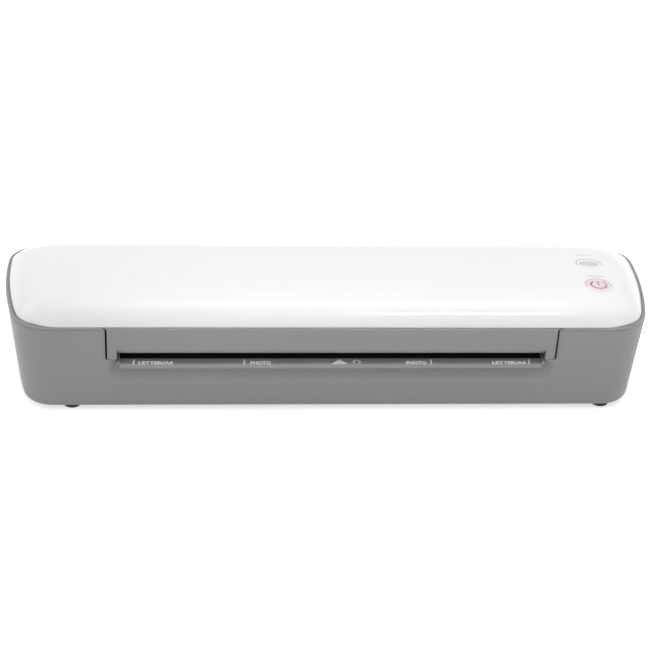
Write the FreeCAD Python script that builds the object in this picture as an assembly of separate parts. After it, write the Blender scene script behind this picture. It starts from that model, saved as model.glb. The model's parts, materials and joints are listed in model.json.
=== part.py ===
"""Pouch laminator for sheets up to A4.

Frame: origin on the floor under the middle of the casing, +X to the right, +Y to the back, +Z up.
A pouch goes in through the slot in the front (-Y) and comes out of the slot in the back (+Y).
"""
import FreeCAD, Part
import math
import os

V = FreeCAD.Vector
AXIS_X = V(1, 0, 0)
AXIS_Z = V(0, 0, 1)

# ---- casing ------------------------------------------------------------------------------
rim_width = 371.0          # over the rim of the base, left to right
rim_depth = 104.0          # over the rim of the base, front to back
rim_z = 56.0               # the rim's top above the floor
foot_height = 2.0          # the base's underside above the floor
wall = 2.3                 # moulded wall of the base and of the bezel
wall_lean = 0.106          # how far a wall leans inward per mm of drop
front_corner_r = 23.0
rear_corner_r = 20.0
side_bow_r = 253.0         # radius of the bowed ends
side_bow_y = 24.0          # where the ends are widest
under_edge_r = 5.0         # rounding of the base's lower edge
lid_rise = 16.0            # crown of the lid above the rim
lid_crest_back = 27.0      # from the front of the rim to where the crown is highest
lid_front_power = 3.0      # squareness of the crown in front of its crest
lid_back_power = 1.8       # and behind it
lid_wall = 2.2
lid_skirt = 1.5            # how far the lid's edge sits below the rim
lid_fit = 0.15             # gap between the lid and the rim
lid_roll_run = 55.5        # from each end of the rim to where the crown starts to roll down
lid_roll_power = 5.0       # how late in that run the roll falls
dome_steps = 16            # points from the crest to each edge of the crown
over = 1.0                 # how far a cutting body reaches past the face it cuts
near = 0.01                # how close two measures of one edge agree
fascia_depth = 8.0         # how deep the openings for the bezel and the duct are cut

# ---- entry and exit ----------------------------------------------------------------------
slot_side = 65.5           # from each side of the slot to the end of the rim
path_z = 36.0              # height of the pouch's path
mouth_top_z = 39.4         # underside of the bezel over the mouth
mouth_curve_r = 4.5        # rounding of the bezel into the mouth
bezel_side = 6.0           # the bezel's width beside the mouth
bezel_drop = 21.1          # from the rim to the bezel's lower edge
lead_in_back = 14.0        # from the front of the rim to the back edge of the bezel's lead-in
lead_in_fall = 1.0         # how much the lead-in comes down on its way back
shelf_top_z = 31.9         # the shelf at its lip
shelf_climb = 2.0          # how much the shelf climbs on its way to the heat shoes
shelf_thick = 2.3
shelf_reach = 1.6          # how far the lip stands out from the front wall
scoop_r = 14.0             # the hollow under the lip
scoop_depth = 1.2
seam = 0.3                 # gap between parts of the casing
exit_height = 5.6
exit_wall = 2.2
exit_reach = 0.6           # how far the exit duct stands out at the back
exit_side = 1.0            # how much wider the duct is than the slot, at each side
exit_clear = 1.0           # from the rollers to the duct

# ---- controls ----------------------------------------------------------------------------
control_inset = 34.5       # from the right end of the rim to both controls
power_back = 23.0          # from the front of the rim to the power button
ready_behind = 28.8        # from the power button to the ready light
button_r = 5.0
lens_r = 4.4
button_gap = 0.3
button_travel = 0.6
button_thick = 2.4
button_edge = 0.4
button_neck = 1.0          # how much thinner the neck is, all round
collar_reach = 1.0         # how far the button's collar stands out under the lid
collar_thick = 0.7
stem_r = 2.0
plunger_r = 1.7
switch_size = 6.0
switch_height = 3.5
plunger_free = 1.0         # plunger between the stem and the pressed switch
plunger_sunk = 1.2         # plunger inside the switch
board_depth = 9.0          # from the lid's outside at the button to the board
board_thick = 1.6
board_width = 18.0
board_front = 13.0         # from the button's axis to the board's front edge
board_back = 36.0          # from the button's axis to the board's back edge
light_pipe_r = 2.2
led_r = 2.4
led_height = 4.0
small_led_r = 1.7
led_gap = 0.5              # from the switch to the power light

# ---- drive -------------------------------------------------------------------------------
roller_teeth = 20
idler_teeth = 24
pinion_teeth = 18
pressure_angle = math.radians(20.0)
tooth_backlash = 0.16      # taken off each tooth's thickness
gear_face = 8.0
addendum = 0.95            # in modules
dedendum = 1.2             # in modules
idler_angle = math.radians(10.92)   # from the lower roller, up towards the front
pinion_angle = math.radians(40.0)   # from the idler, up towards the front
pinion_front = 8.83        # from the front of the rim to the pinion's teeth
roller_back = 38.0         # from the back of the rim to the rollers' axes
nip_gap = 0.3
roller_over = 1.0          # the sleeve's length past each side of the slot
core_r = 4.0               # steel core of each roller
journal_r = 3.0
core_end_gap = 0.8         # from the end of each core to the frame plate
journal_out = 2.5          # how far the journals stand out past the left bushes
gear_keeper = 1.0          # how far the shafts stand out past the gears
clip_reach = 1.6
clip_thick = 0.8
clip_gap = 0.3
running_fit = 0.05         # radial clearance of each shaft in its bush
frame_gap = 8.0            # from the side of the slot to the frame plate
frame_thick = 1.5
frame_front = 16.0         # from the front of the rim to the frame plates
frame_behind = 8.15        # from the rollers to the back edge of the frame plates
frame_cap = 2.5            # steel over the springs' windows
frame_cheek = 3.0          # and behind them
frame_front_drop = 3.0     # how far the plates' front top is under the rim
flange = 12.0              # foot of each frame plate
bush_r = 5.0
bush_flange_r = 7.0
bush_flange = 1.5
plate_fit = 0.05           # gap of fixed pieces in the frame plates
spring_r = 3.3             # to the middle of the wire
spring_wire_r = 0.45
spring_turns = 6
spring_length = 9.0
gear_clear = 3.3           # from the frame plate to the gears
plate_clear = 2.0          # from the gears to the motor plate
motor_plate = 1.2
motor_front = 8.2          # from the front of the rim to the motor
motor_length = 18.0
motor_edge = 1.5
motor_socket = 8.0         # depth of the motor's bearing
motor_offset = 14.0        # from the motor's middle to its output shaft
motor_shaft_r = 2.5
spacer_r = 3.0
spacer_edge = 4.0          # from the edges of the frame plate to each pillar's axis
spacer_drop = 9.0          # from the frame plates' top to the upper pillar's axis
spacer_behind = 6.4        # from the idler's axis back to the upper pillar
spacer_gap = 1.2           # from the foot of the frame plate to the lower pillar
screw_r = 1.5
screw_head_r = 2.8
screw_head = 1.6
cross_arm = 1.2            # the cross slot's length, in head radii
cross_width = 0.36         # the cross slot's width, in head radii
thin_pilot = 1.3           # floor left under each blind hole
case_bite = 8.0            # how far the case screws reach into the lid's posts
frame_screw = 4.5
tie_screw = 7.0
pillar_screw = 6.0
ear_screw = 4.0
board_screw = 4.0

# ---- heat shoes --------------------------------------------------------------------------
shoe_front = 19.0          # from the front of the rim to the shoes
shoe_clear = 4.15          # from the shoes to the rollers
shoe_gap = 2.4             # between the shoes
shoe_web = 2.5
shoe_height = 9.0
shoe_wall = 2.5
shoe_inset = 2.0           # from each frame plate to the shoe's body
tongue_width = 12.0        # the tongue at each end that sits in the frame plate
shoe_bevel = 2.0
heater_thick = 3.0
heater_inset = 8.0

# ---- small inner parts -------------------------------------------------------------------
boss_r = 4.5
boss_rise = 2.0            # the frame plates stand this much above the floor of the base
foot_r = 5.0
foot_seat = 1.0            # how deep each foot sits in the base
foot_edge = 0.8
left_foot_inset = 39.5     # from the left end of the rim to the front left foot
right_foot_inset = 28.5
rear_foot_inset = 34.5
front_foot_back = 13.6     # from the front of the rim
rear_foot_front = 16.0     # from the back of the rim
vent_width = 3.0
vent_length = 22.0
vent_pitch = 9.0
vent_count = 9
inlet_inset = 35.5         # from the left end of the rim to the cord inlet
inlet_z = 22.0
inlet_r = 6.5              # hole in the back wall
inlet_bore_r = 3.6
inlet_flange_r = 8.5
inlet_flange = 1.5
inlet_play = 0.2           # from the inner flange to the wall
inlet_nose = 3.0           # how far the bush reaches in past the wall

lens_thick = 2.2
lead_in_thick = 2.0
lip_corner_r = 3.0
shelf_leg_in = 20.0        # from each side of the slot to the tray's legs
shelf_leg_back = 12.0      # from the front of the rim to the legs
shelf_leg = 3.0            # half of a leg's width
vent_low_z = 14.0
vent_height = 9.0
peg_r = 1.8
stud_rivet_r = 2.0
tie_r = 3.5
tie_front_z = 20.0
tie_rear_z = 15.0
tie_edge = 5.0             # from the edges of the frame plates to the tie rods
tie_pilot = 10.0
thermostat_r = 8.0
thermostat_step = 2.0      # how much narrower its head is, all round
thermostat_base = 4.0
thermostat_height = 8.0
tab_reach = 4.0
tab_width = 4.0
tab_thick = 0.8
fuse_r = 2.0
fuse_length = 12.0
fuse_lead_r = 0.5
fuse_lead = 22.0
motor_ear_angle = math.radians(37.0)
motor_ear_r = 3.6
motor_ear_thick = 1.0
motor_ear_reach = 3.3      # from the can to the middle of an ear
front_post_inset = 18.3    # from the ends of the rim to the front posts
rear_post_inset = 14.5
front_post_back = 27.0     # from the front of the rim
rear_post_front = 22.0     # from the back of the rim
post_join_z = 40.0         # where the lid's posts stand on the base's bosses
post_pilot = 10.0
screw_seat_z = 28.0        # the seat of each case screw's head in its boss
board_pilot = 5.0
power_board_inset = 23.2   # from the left end of the rim to the board
power_board_width = 19.5
power_board_end = 22.0     # from the front and the back of the rim to the board
power_board_z = 10.0
block_edge = 2.0           # from the board's edges to the parts on it
block_width = 10.0
block_length = 20.0
block_height = 10.0
block_screws = 4
block_hole_r = 1.6
block_hole = 3.0
relay_width = 14.0
relay_length = 16.0
relay_height = 12.0
capacitor_r = 4.5
capacitor_height = 12.0
plate_margin = 4.5         # of the motor plate round its pillars
stud_over = 0.8            # how far the stud stands out past the idler
stud_gap = 0.4
stud_step = 2.5

# ---- values worked out from the ones above -----------------------------------------------
half_w = rim_width / 2
half_d = rim_depth / 2
half_slot = half_w - slot_side
slot_width = 2 * half_slot
base_z = foot_height
floor_z = base_z + wall
bow_centre_x = half_w - side_bow_r
lid_crest_y = lid_crest_back - half_d
lid_roll_start = half_w - lid_roll_run
lead_in_end_y = lead_in_back - half_d
control_x = half_w - control_inset
power_y = power_back - half_d
ready_y = power_y + ready_behind
roller_y = half_d - roller_back
train_modules = ((roller_teeth + idler_teeth) / 2 * math.cos(idler_angle)
                 + (idler_teeth + pinion_teeth) / 2 * math.cos(pinion_angle)
                 + pinion_teeth / 2 + addendum)
gear_module = (rim_depth - roller_back - pinion_front) / train_modules
frame_y0 = frame_front - half_d
shoe_y0 = shoe_front - half_d
shelf_leg_x = half_slot - shelf_leg_in
shelf_leg_y = shelf_leg_back - half_d
inlet_x = inlet_inset - half_w
front_foot_x = (left_foot_inset - half_w, half_w - right_foot_inset)
front_foot_y = front_foot_back - half_d
rear_foot_x = (rear_foot_inset - half_w, half_w - rear_foot_inset)
rear_foot_y = half_d - rear_foot_front
power_board_x0 = power_board_inset - half_w
power_board_x1 = power_board_x0 + power_board_width
power_board_y0 = power_board_end - half_d
power_board_y1 = -power_board_y0
roller_gap = gear_module * roller_teeth
roller_r = (roller_gap - nip_gap) / 2
shoe_y1 = roller_y - roller_r - shoe_clear
frame_y1 = roller_y + roller_r + frame_behind
upper_axis_z = path_z + roller_gap / 2
lower_axis_z = path_z - roller_gap / 2
frame_in = half_slot + frame_gap
frame_out = frame_in + frame_thick
frame_top_z = upper_axis_z + bush_r + spring_length + frame_cap
gear_x0 = frame_out + gear_clear
gear_x1 = gear_x0 + gear_face
motor_plate_x = gear_x1 + plate_clear
motor_x0 = motor_plate_x + motor_plate
boss_top_z = floor_z + boss_rise
switch_top = board_depth - switch_height
stem_end = switch_top - button_travel - plunger_free
board_leg_x = (power_board_x0 + spacer_r, power_board_x1 - spacer_r)
board_leg_y = (power_board_y0 + spacer_r, power_board_y1 - spacer_r)
wall_angle = math.atan(wall_lean)
inlet_out = V(0, math.cos(wall_angle), -math.sin(wall_angle))
inlet_at = V(inlet_x, half_d - wall_lean * (rim_z - inlet_z), inlet_z)


def box(x0, x1, y0, y1, z0, z1):
    """A block between two corners."""
    return Part.makeBox(x1 - x0, y1 - y0, z1 - z0, V(x0, y0, z0))


def rod(r, start, length, direction=AXIS_X):
    """A round bar from a point along a direction."""
    return Part.makeCylinder(r, length, start, direction)


def hole(r, at, direction, deep):
    """A cutting rod through a point, reaching the same way to both sides of it."""
    return rod(r, at - direction * deep, 2 * deep, direction)


def ring(r_out, r_in, start, length, direction=AXIS_X):
    return rod(r_out, start, length, direction).cut(rod(r_in, start, length, direction))


def bar_x(points, x0, x1):
    """A prism along X whose section is the polygon of (y, z) points."""
    corners = [V(x0, y, z) for y, z in points]
    face = Part.Face(Part.makePolygon(corners + corners[:1]))
    return face.extrude(V(x1 - x0, 0, 0))


def group(solids):
    return Part.makeCompound(solids)


# ---- the plan of the casing --------------------------------------------------------------

def corner(inset, front):
    """Centre and radius of a right-hand corner arc of the plan, drawn in by an inset."""
    r = (front_corner_r if front else rear_corner_r) - inset
    y = -half_d + front_corner_r if front else half_d - rear_corner_r
    reach = side_bow_r - inset - r
    x = bow_centre_x + math.sqrt(reach ** 2 - (y - side_bow_y) ** 2)
    return x, y, r


def plan_half_width(y, inset):
    """Half the plan's width at a depth y."""
    for front in (True, False):
        cx, cy, r = corner(inset, front)
        toward_bow = math.atan2(cy - side_bow_y, cx - bow_centre_x)
        join_y = cy + r * math.sin(toward_bow)
        if (front and y <= join_y) or (not front and y >= join_y):
            return cx + math.sqrt(max(r ** 2 - (y - cy) ** 2, 0.0))
    bow_r = side_bow_r - inset
    return bow_centre_x + math.sqrt(bow_r ** 2 - (y - side_bow_y) ** 2)


def plan_wire(inset, z):
    """The plan's closed outline: straight front and back, bowed ends, rounded corners."""
    def arc(cx, cy, r, a0, a1):
        mid = (a0 + a1) / 2
        return [V(cx + r * math.cos(a), cy + r * math.sin(a), z) for a in (a0, mid, a1)]

    fx, fy, fr = corner(inset, True)
    rx, ry, rr = corner(inset, False)
    bow_x = bow_centre_x
    front_join = math.atan2(fy - side_bow_y, fx - bow_x)
    rear_join = math.atan2(ry - side_bow_y, rx - bow_x)
    right = [arc(fx, fy, fr, -math.pi / 2, front_join),
             arc(bow_x, side_bow_y, side_bow_r - inset, front_join, rear_join),
             arc(rx, ry, rr, rear_join, math.pi / 2)]
    left = [[V(-p.x, p.y, p.z) for p in reversed(points)] for points in reversed(right)]
    edges = [Part.Arc(*points).toShape() for points in right]
    edges.append(Part.makeLine(right[2][2], left[0][0]))
    edges += [Part.Arc(*points).toShape() for points in left]
    edges.append(Part.makeLine(left[2][2], right[0][0]))
    return Part.Wire(edges)


def leaning_tub(inset, z0, z1):
    """The solid inside the base's leaning walls, drawn in by an inset."""
    low = plan_wire(inset + wall_lean * (rim_z - z0), z0)
    high = plan_wire(inset + wall_lean * (rim_z - z1), z1)
    return Part.makeLoft([low, high], True, True)


def front_face_y(z):
    """Outside of the front wall at a height."""
    return -half_d + wall_lean * (rim_z - z)


def rear_face_y(z):
    return half_d - wall_lean * (rim_z - z)


# ---- lid ---------------------------------------------------------------------------------

def crown(y, inset, rise):
    """The lid's height over the rim along its middle: a squared-off oval each way from its crest."""
    run, power = half_d - inset - lid_crest_y, lid_back_power
    if y < lid_crest_y:
        run, power = half_d - inset + lid_crest_y, lid_front_power
    share = min(abs(y - lid_crest_y) / run, 1.0)
    return rise * (1 - share ** power) ** (1 / power)


def roll(across, high):
    """Points of one end's roll, as (x, z): it falls as a power of the share of the way out."""
    shares = [k / dome_steps for k in range(dome_steps + 1)]
    return [(across * share, high * (1 - share ** lid_roll_power)) for share in shares]


def dome(inset, rise, drop):
    """A closed crown over the plan drawn in by an inset, with a straight skirt under it."""
    turns = [math.sin(math.pi / 2 * k / dome_steps) for k in range(dome_steps + 1)]
    front_run = lid_crest_y + half_d - inset
    rear_run = half_d - inset - lid_crest_y
    ys = [lid_crest_y - front_run * t ** (2 / lid_front_power) for t in reversed(turns)]
    ys += [lid_crest_y + rear_run * t ** (2 / lid_back_power) for t in turns[1:]]
    rows = []
    for y in ys:
        across = plan_half_width(y, inset) - lid_roll_start
        rows.append([V(lid_roll_start + x, y, rim_z + z)
                     for x, z in roll(across, crown(y, inset, rise))])
    surface = Part.BSplineSurface()
    surface.interpolate(rows)
    right = surface.toShape()
    left = right.mirror(V(0, 0, 0), AXIS_X)
    outer_edges = []
    for edge in right.Edges:
        ends = [v.Point.x for v in edge.Vertexes]
        if max(ends) - min(ends) < 0.01 and abs(ends[0] - lid_roll_start) < 0.01:
            middle = edge.extrude(V(-2 * lid_roll_start, 0, 0))
        else:
            outer_edges.append(edge)
    outer_edges += [edge.mirror(V(0, 0, 0), AXIS_X) for edge in outer_edges]
    for y in (ys[0], ys[-1]):
        outer_edges.append(Part.makeLine(V(-lid_roll_start, y, rim_z), V(lid_roll_start, y, rim_z)))
    skirt = [edge.extrude(V(0, 0, -drop)) for edge in outer_edges]
    hem = Part.Wire(Part.__sortEdges__(outer_edges))
    hem.translate(V(0, 0, -drop))
    shell = Part.makeShell([right, left, middle] + skirt + [Part.Face(hem)])
    shell.sewShape()
    return Part.makeSolid(Part.Shell(shell.Faces))


lid_inset = wall + lid_fit + wall_lean * lid_skirt


def lid_top(x, y):
    """Height of the lid's outside above the floor, right of where its end starts to roll down."""
    share = (x - lid_roll_start) / (plan_half_width(y, lid_inset) - lid_roll_start)
    return rim_z + crown(y, lid_inset, lid_rise) * (1 - share ** lid_roll_power)


power_z = lid_top(control_x, power_y)
power_tilt = math.atan2(lid_top(control_x, power_y + near) - lid_top(control_x, power_y - near), 2 * near)
power_up = V(0, -math.sin(power_tilt), math.cos(power_tilt))
power_along = V(0, math.cos(power_tilt), math.sin(power_tilt))
power_at = V(control_x, power_y, power_z)
ready_z = lid_top(control_x, ready_y)


def tilted_block(width, front, back, low, high):
    """A block across the button's axis: low and high are distances below the lid's outside."""
    block = box(-width / 2, width / 2, front, back, -low, -high)
    block.rotate(V(0, 0, 0), AXIS_X, math.degrees(power_tilt))
    block.translate(power_at)
    return block


def post_places():
    """Where the lid's posts stand on the base's bosses: (x, y)."""
    places = ((half_w - front_post_inset, front_post_back - half_d),
              (half_w - rear_post_inset, half_d - rear_post_front))
    return [(side * x, y) for x, y in places for side in (-1, 1)]


def frame_screw_places():
    """Middles of the screws that hold the frame plates to the base."""
    x = frame_out + flange / 2
    return [(side * x, y) for side in (-1, 1) for y in (frame_y0 + 2 * boss_r, frame_y1 - 2 * boss_r)]


def make_lid():
    outer = dome(lid_inset, lid_rise, lid_skirt)
    inner = dome(lid_inset + lid_wall, lid_rise - lid_wall, lid_skirt + over)
    lid = outer.cut(inner)
    for x, y in post_places():
        top = rod(boss_r, V(x, y, rim_z), lid_rise, AXIS_Z).common(outer)
        post = top.fuse(rod(boss_r, V(x, y, post_join_z), rim_z - post_join_z, AXIS_Z))
        pilot = rod(screw_r + plate_fit, V(x, y, post_join_z), post_pilot, AXIS_Z)
        lid = lid.fuse(post.removeSplitter().cut(pilot))
    for x, t in board_screw_places():
        start = power_at + power_along * t - power_up * board_depth + V(x, 0, 0)
        pillar = rod(spacer_r, start, 2 * board_depth, power_up).common(outer)
        lid = lid.fuse(pillar.cut(rod(screw_r + plate_fit, start, board_pilot, power_up)))
    lid = lid.cut(hole(button_r + button_gap, power_at, power_up, board_depth / 2))
    lid = lid.cut(hole(lens_r + plate_fit, V(control_x, ready_y, ready_z), AXIS_Z, board_depth / 2))
    return lid.removeSplitter()


def make_base_shell():
    base = leaning_tub(0, base_z, rim_z)
    under = [e for e in base.Edges if all(abs(v.Point.z - base_z) < near for v in e.Vertexes)]
    base = base.makeFillet(under_edge_r, under)
    base = base.cut(leaning_tub(wall, floor_z, rim_z + over))
    for x, y in post_places():
        boss = rod(boss_r, V(x, y, floor_z), post_join_z - floor_z, AXIS_Z)
        base = base.fuse(boss)
    for x, y in post_places():
        base = base.cut(hole(screw_head_r + seam, V(x, y, base_z), AXIS_Z, screw_seat_z - base_z))
        base = base.cut(hole(screw_r + plate_fit, V(x, y, screw_seat_z), AXIS_Z, post_join_z))
    for x, y in frame_screw_places():
        base = base.fuse(rod(boss_r, V(x, y, floor_z), boss_top_z - floor_z, AXIS_Z))
        base = base.cut(rod(screw_r + plate_fit, V(x, y, base_z + thin_pilot), boss_top_z, AXIS_Z))
    for x in board_leg_x:
        for y in board_leg_y:
            base = base.fuse(rod(spacer_r, V(x, y, floor_z), power_board_z - floor_z, AXIS_Z))
    cut_x = half_slot + bezel_side + seam
    front = -half_d - over
    deep = fascia_depth - half_d
    base = base.cut(box(-cut_x, cut_x, front, deep, rim_z - bezel_drop - seam, rim_z + over))
    base = base.cut(box(-half_slot, half_slot, front, deep, shelf_top_z - shelf_thick, rim_z))
    base = base.cut(scoop())
    slot_x = half_slot + exit_side + exit_wall + seam
    slot_h = exit_height / 2 + exit_wall + seam
    rear = half_d + over
    base = base.cut(box(-slot_x, slot_x, -deep, rear, path_z - slot_h, path_z + slot_h))
    for k in range(vent_count):
        for side in (-1, 1):
            x = side * (half_slot / 2) + (k - (vent_count - 1) / 2) * vent_pitch
            x0, x1 = x - vent_width / 2, x + vent_width / 2
            base = base.cut(box(x0, x1, -vent_length / 2, vent_length / 2, base_z - over, floor_z + over))
            base = base.cut(box(x0, x1, -deep, rear, vent_low_z, vent_low_z + vent_height))
    for x, y in foot_places():
        base = base.cut(hole(foot_r + plate_fit, V(x, y, base_z), AXIS_Z, foot_seat))
    base = base.cut(hole(inlet_r, inlet_at, inlet_out, 2 * inlet_nose))
    return base


def scoop():
    """The shallow hollow under the lip: a bar with rounded ends laid against the front wall."""
    z = shelf_top_z - shelf_thick - scoop_r / 3
    y = front_face_y(z) - scoop_r + scoop_depth
    shape = rod(scoop_r, V(-half_slot, y, z), slot_width)
    for x in (-half_slot, half_slot):
        shape = shape.fuse(Part.makeSphere(scoop_r, V(x, y, z)))
    return shape


def make_front_bezel():
    """The fascia over the mouth, with the smooth lead-in behind it and a cheek at each side."""
    foot_z = rim_z - bezel_drop
    lead_z = mouth_top_z - lead_in_fall
    inner_z = mouth_top_z + lead_in_thick
    face = [(front_face_y(rim_z), rim_z), (front_face_y(mouth_top_z), mouth_top_z),
            (lead_in_end_y, lead_z), (lead_in_end_y, lead_z + lead_in_thick),
            (front_face_y(inner_z) + wall, inner_z), (front_face_y(rim_z) + wall, rim_z)]
    bezel = bar_x(face, -half_slot, half_slot)
    nose = [e for e in bezel.Edges if all(abs(v.Point.z - mouth_top_z) < near
                                          and abs(v.Point.y - face[1][0]) < near for v in e.Vertexes)]
    bezel = bezel.makeFillet(mouth_curve_r, nose)
    cheek = [(front_face_y(rim_z), rim_z), (front_face_y(foot_z), foot_z), (lead_in_end_y, foot_z),
             (lead_in_end_y, lead_z + lead_in_thick), (front_face_y(inner_z) + wall, inner_z),
             (front_face_y(rim_z) + wall, rim_z)]
    for side in (-1, 1):
        x0, x1 = sorted((side * half_slot, side * (half_slot + bezel_side)))
        bezel = bezel.fuse(bar_x(cheek, x0, x1))
    return bezel.removeSplitter()


def make_entry_shelf():
    """The tray under the mouth, with a rounded lip in front and two legs on the base."""
    lip_y = front_face_y(shelf_top_z) - shelf_reach
    back_y = shoe_y0 - seam
    half_x = half_slot - seam
    shelf = bar_x([(lip_y, shelf_top_z), (lip_y, shelf_top_z - shelf_thick),
                   (back_y, shelf_top_z + shelf_climb - shelf_thick),
                   (back_y, shelf_top_z + shelf_climb)], -half_x, half_x)
    posts = [e for e in shelf.Edges if all(abs(v.Point.y - lip_y) < near for v in e.Vertexes)
             and abs(e.Vertexes[0].Point.x - e.Vertexes[1].Point.x) < near]
    shelf = shelf.makeFillet(lip_corner_r, posts)
    rims = [e for e in shelf.Edges if e.BoundBox.YMin < lip_y + near
            and e.BoundBox.XLength > lip_corner_r * 2]
    shelf = shelf.makeFillet(shelf_thick * 0.45, rims)
    slope = shelf_climb / (back_y - lip_y)
    leg_top = shelf_top_z + slope * (shelf_leg_y - lip_y) - shelf_thick / 2
    for side in (-1, 1):
        x = side * shelf_leg_x
        leg = box(x - shelf_leg, x + shelf_leg, shelf_leg_y - shelf_leg / 2,
                  shelf_leg_y + shelf_leg / 2, floor_z, leg_top)
        shelf = shelf.fuse(leg)
    return shelf.removeSplitter()


def make_exit_guide():
    """A flat duct from the rollers through the back wall."""
    y0 = roller_y + roller_r + exit_clear
    y1 = rear_face_y(path_z) + exit_reach
    x_in = half_slot + exit_side
    outer = box(-x_in - exit_wall, x_in + exit_wall, y0, y1,
                path_z - exit_height / 2 - exit_wall, path_z + exit_height / 2 + exit_wall)
    return outer.cut(box(-x_in, x_in, y0 - over, y1 + over,
                         path_z - exit_height / 2, path_z + exit_height / 2))


# ---- controls ----------------------------------------------------------------------------

def board_screw_places():
    """Screws of the control board: x from the button, distance back from the button's axis."""
    x = board_width / 2 - spacer_r
    return [(-x, board_back - spacer_r), (x, board_back - spacer_r),
            (-x, spacer_r - board_front), (x, spacer_r - board_front)]


def make_power_button():
    cap = rod(button_r, power_at - power_up * button_thick, button_thick, power_up)
    top = [e for e in cap.Edges if (e.CenterOfMass - power_at).Length < near]
    cap = cap.makeFillet(button_edge, top)
    collar_top = lid_wall + button_travel + button_gap
    collar_end = collar_top + collar_thick
    neck = rod(button_r - button_neck, power_at - power_up * collar_top, collar_top / 2, power_up)
    collar = rod(button_r + collar_reach, power_at - power_up * collar_end, collar_thick, power_up)
    stem = rod(stem_r, power_at - power_up * stem_end, stem_end - button_thick / 2, power_up)
    return cap.fuse([neck, collar, stem]).removeSplitter()


def make_switch_plunger():
    return rod(plunger_r, power_at - power_up * (switch_top + plunger_sunk),
               switch_top + plunger_sunk - stem_end, power_up)


def make_power_switch():
    half = switch_size / 2
    body = tilted_block(switch_size, -half, half, board_depth, switch_top)
    hole_depth = plunger_sunk + button_travel + seam
    return body.cut(rod(plunger_r + running_fit, power_at - power_up * (switch_top + hole_depth),
                        hole_depth + over, power_up))


def make_control_board():
    board = tilted_block(board_width, -board_front, board_back, board_depth + board_thick, board_depth)
    for x, t in board_screw_places():
        at = power_at + power_along * t - power_up * board_depth + V(x, 0, 0)
        board = board.cut(hole(screw_r + plate_fit, at, power_up, 2 * board_thick))
    return board


def led_foot():
    """Where the ready light stands on the board, so that its top is under the lens."""
    rise = board_depth - led_height
    t = (ready_y - power_y - math.sin(power_tilt) * rise) / math.cos(power_tilt)
    return power_at + power_along * t - power_up * board_depth


def make_leds():
    """The ready light, and the power light beside the switch."""
    ready = rod(led_r, led_foot(), led_height, power_up)
    beside = power_at - power_up * board_depth - AXIS_X * (switch_size / 2 + small_led_r + led_gap)
    return group([ready, rod(small_led_r, beside, led_height, power_up)])


def make_ready_lens():
    """The round lens in the lid with the light pipe under it."""
    top = led_foot() + power_up * led_height
    pipe_z = top.z + led_r * math.sin(power_tilt) + seam
    lens = rod(lens_r, V(control_x, ready_y, ready_z - lens_thick), lens_thick, AXIS_Z)
    pipe_length = ready_z - lens_thick / 2 - pipe_z
    pipe = rod(light_pipe_r, V(control_x, ready_y, pipe_z), pipe_length, AXIS_Z)
    return lens.fuse(pipe).removeSplitter()


def screw(at, direction, length):
    """A pan-head screw: its head stands on a point and its shank goes along a direction."""
    top = at - direction * screw_head
    body = rod(screw_r, at, length, direction).fuse(rod(screw_head_r, top, screw_head, direction))
    arm = screw_head_r * cross_arm / 2
    half = screw_head_r * cross_width / 2
    cross = box(-half, half, -arm, arm, 0, screw_head / 2).fuse(
        box(-arm, arm, -half, half, 0, screw_head / 2))
    cross.Placement = FreeCAD.Placement(top, FreeCAD.Rotation(AXIS_Z, direction))
    return body.cut(cross)


# ---- gears and rollers -------------------------------------------------------------------

def gear(teeth, x0, x1, y, z, phase, bore_r):
    """A spur gear with involute teeth; its first tooth points at phase, from +Y towards +Z."""
    pitch_r = gear_module * teeth / 2
    base_r = pitch_r * math.cos(pressure_angle)
    tip_r = pitch_r + gear_module * addendum
    root_r = pitch_r - gear_module * dedendum
    half_tooth = math.pi / (2 * teeth) - tooth_backlash / (2 * pitch_r)
    at_pitch = math.tan(pressure_angle) - pressure_angle

    def flank_angle(r):
        """Half the tooth's angle at a radius."""
        roll = math.acos(min(base_r / r, 1.0))
        return half_tooth + at_pitch - (math.tan(roll) - roll)

    def point(r, angle):
        return V(x0, y + r * math.cos(angle), z + r * math.sin(angle))

    start_r = max(base_r, root_r) * 1.001
    radii = [start_r + (tip_r - start_r) * k / 3 for k in range(4)]
    edges = []
    for k in range(teeth):
        middle = phase + 2 * math.pi * k / teeth
        rise = [point(r, middle - flank_angle(r)) for r in radii]
        fall = [point(r, middle + flank_angle(r)) for r in reversed(radii)]
        root_a = flank_angle(start_r)
        foot0, foot1 = point(root_r, middle - root_a), point(root_r, middle + root_a)
        next_middle = middle + 2 * math.pi / teeth
        next_foot = point(root_r, next_middle - root_a)
        for points in (rise, fall):
            curve = Part.BSplineCurve()
            curve.interpolate(points)
            edges.append(curve.toShape())
        edges.append(Part.makeLine(foot0, rise[0]))
        edges.append(Part.Arc(rise[-1], point(tip_r, middle), fall[0]).toShape())
        edges.append(Part.makeLine(fall[-1], foot1))
        edges.append(Part.Arc(foot1, point(root_r, middle + math.pi / teeth), next_foot).toShape())
    wheel = Part.Face(Part.Wire(Part.__sortEdges__(edges))).extrude(V(x1 - x0, 0, 0))
    return wheel.cut(rod(bore_r, V(x0 - over, y, z), x1 - x0 + 2 * over))


def meshing_phase(phase_a, teeth_a, at_a, teeth_b, at_b):
    """The phase of gear b whose gap lies where gear a's tooth lies, on the line between them."""
    toward_b = math.atan2(at_b[1] - at_a[1], at_b[0] - at_a[0])
    place = (toward_b - phase_a) * teeth_a / (2 * math.pi)
    return toward_b + math.pi - (0.5 - place) * 2 * math.pi / teeth_b


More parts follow.
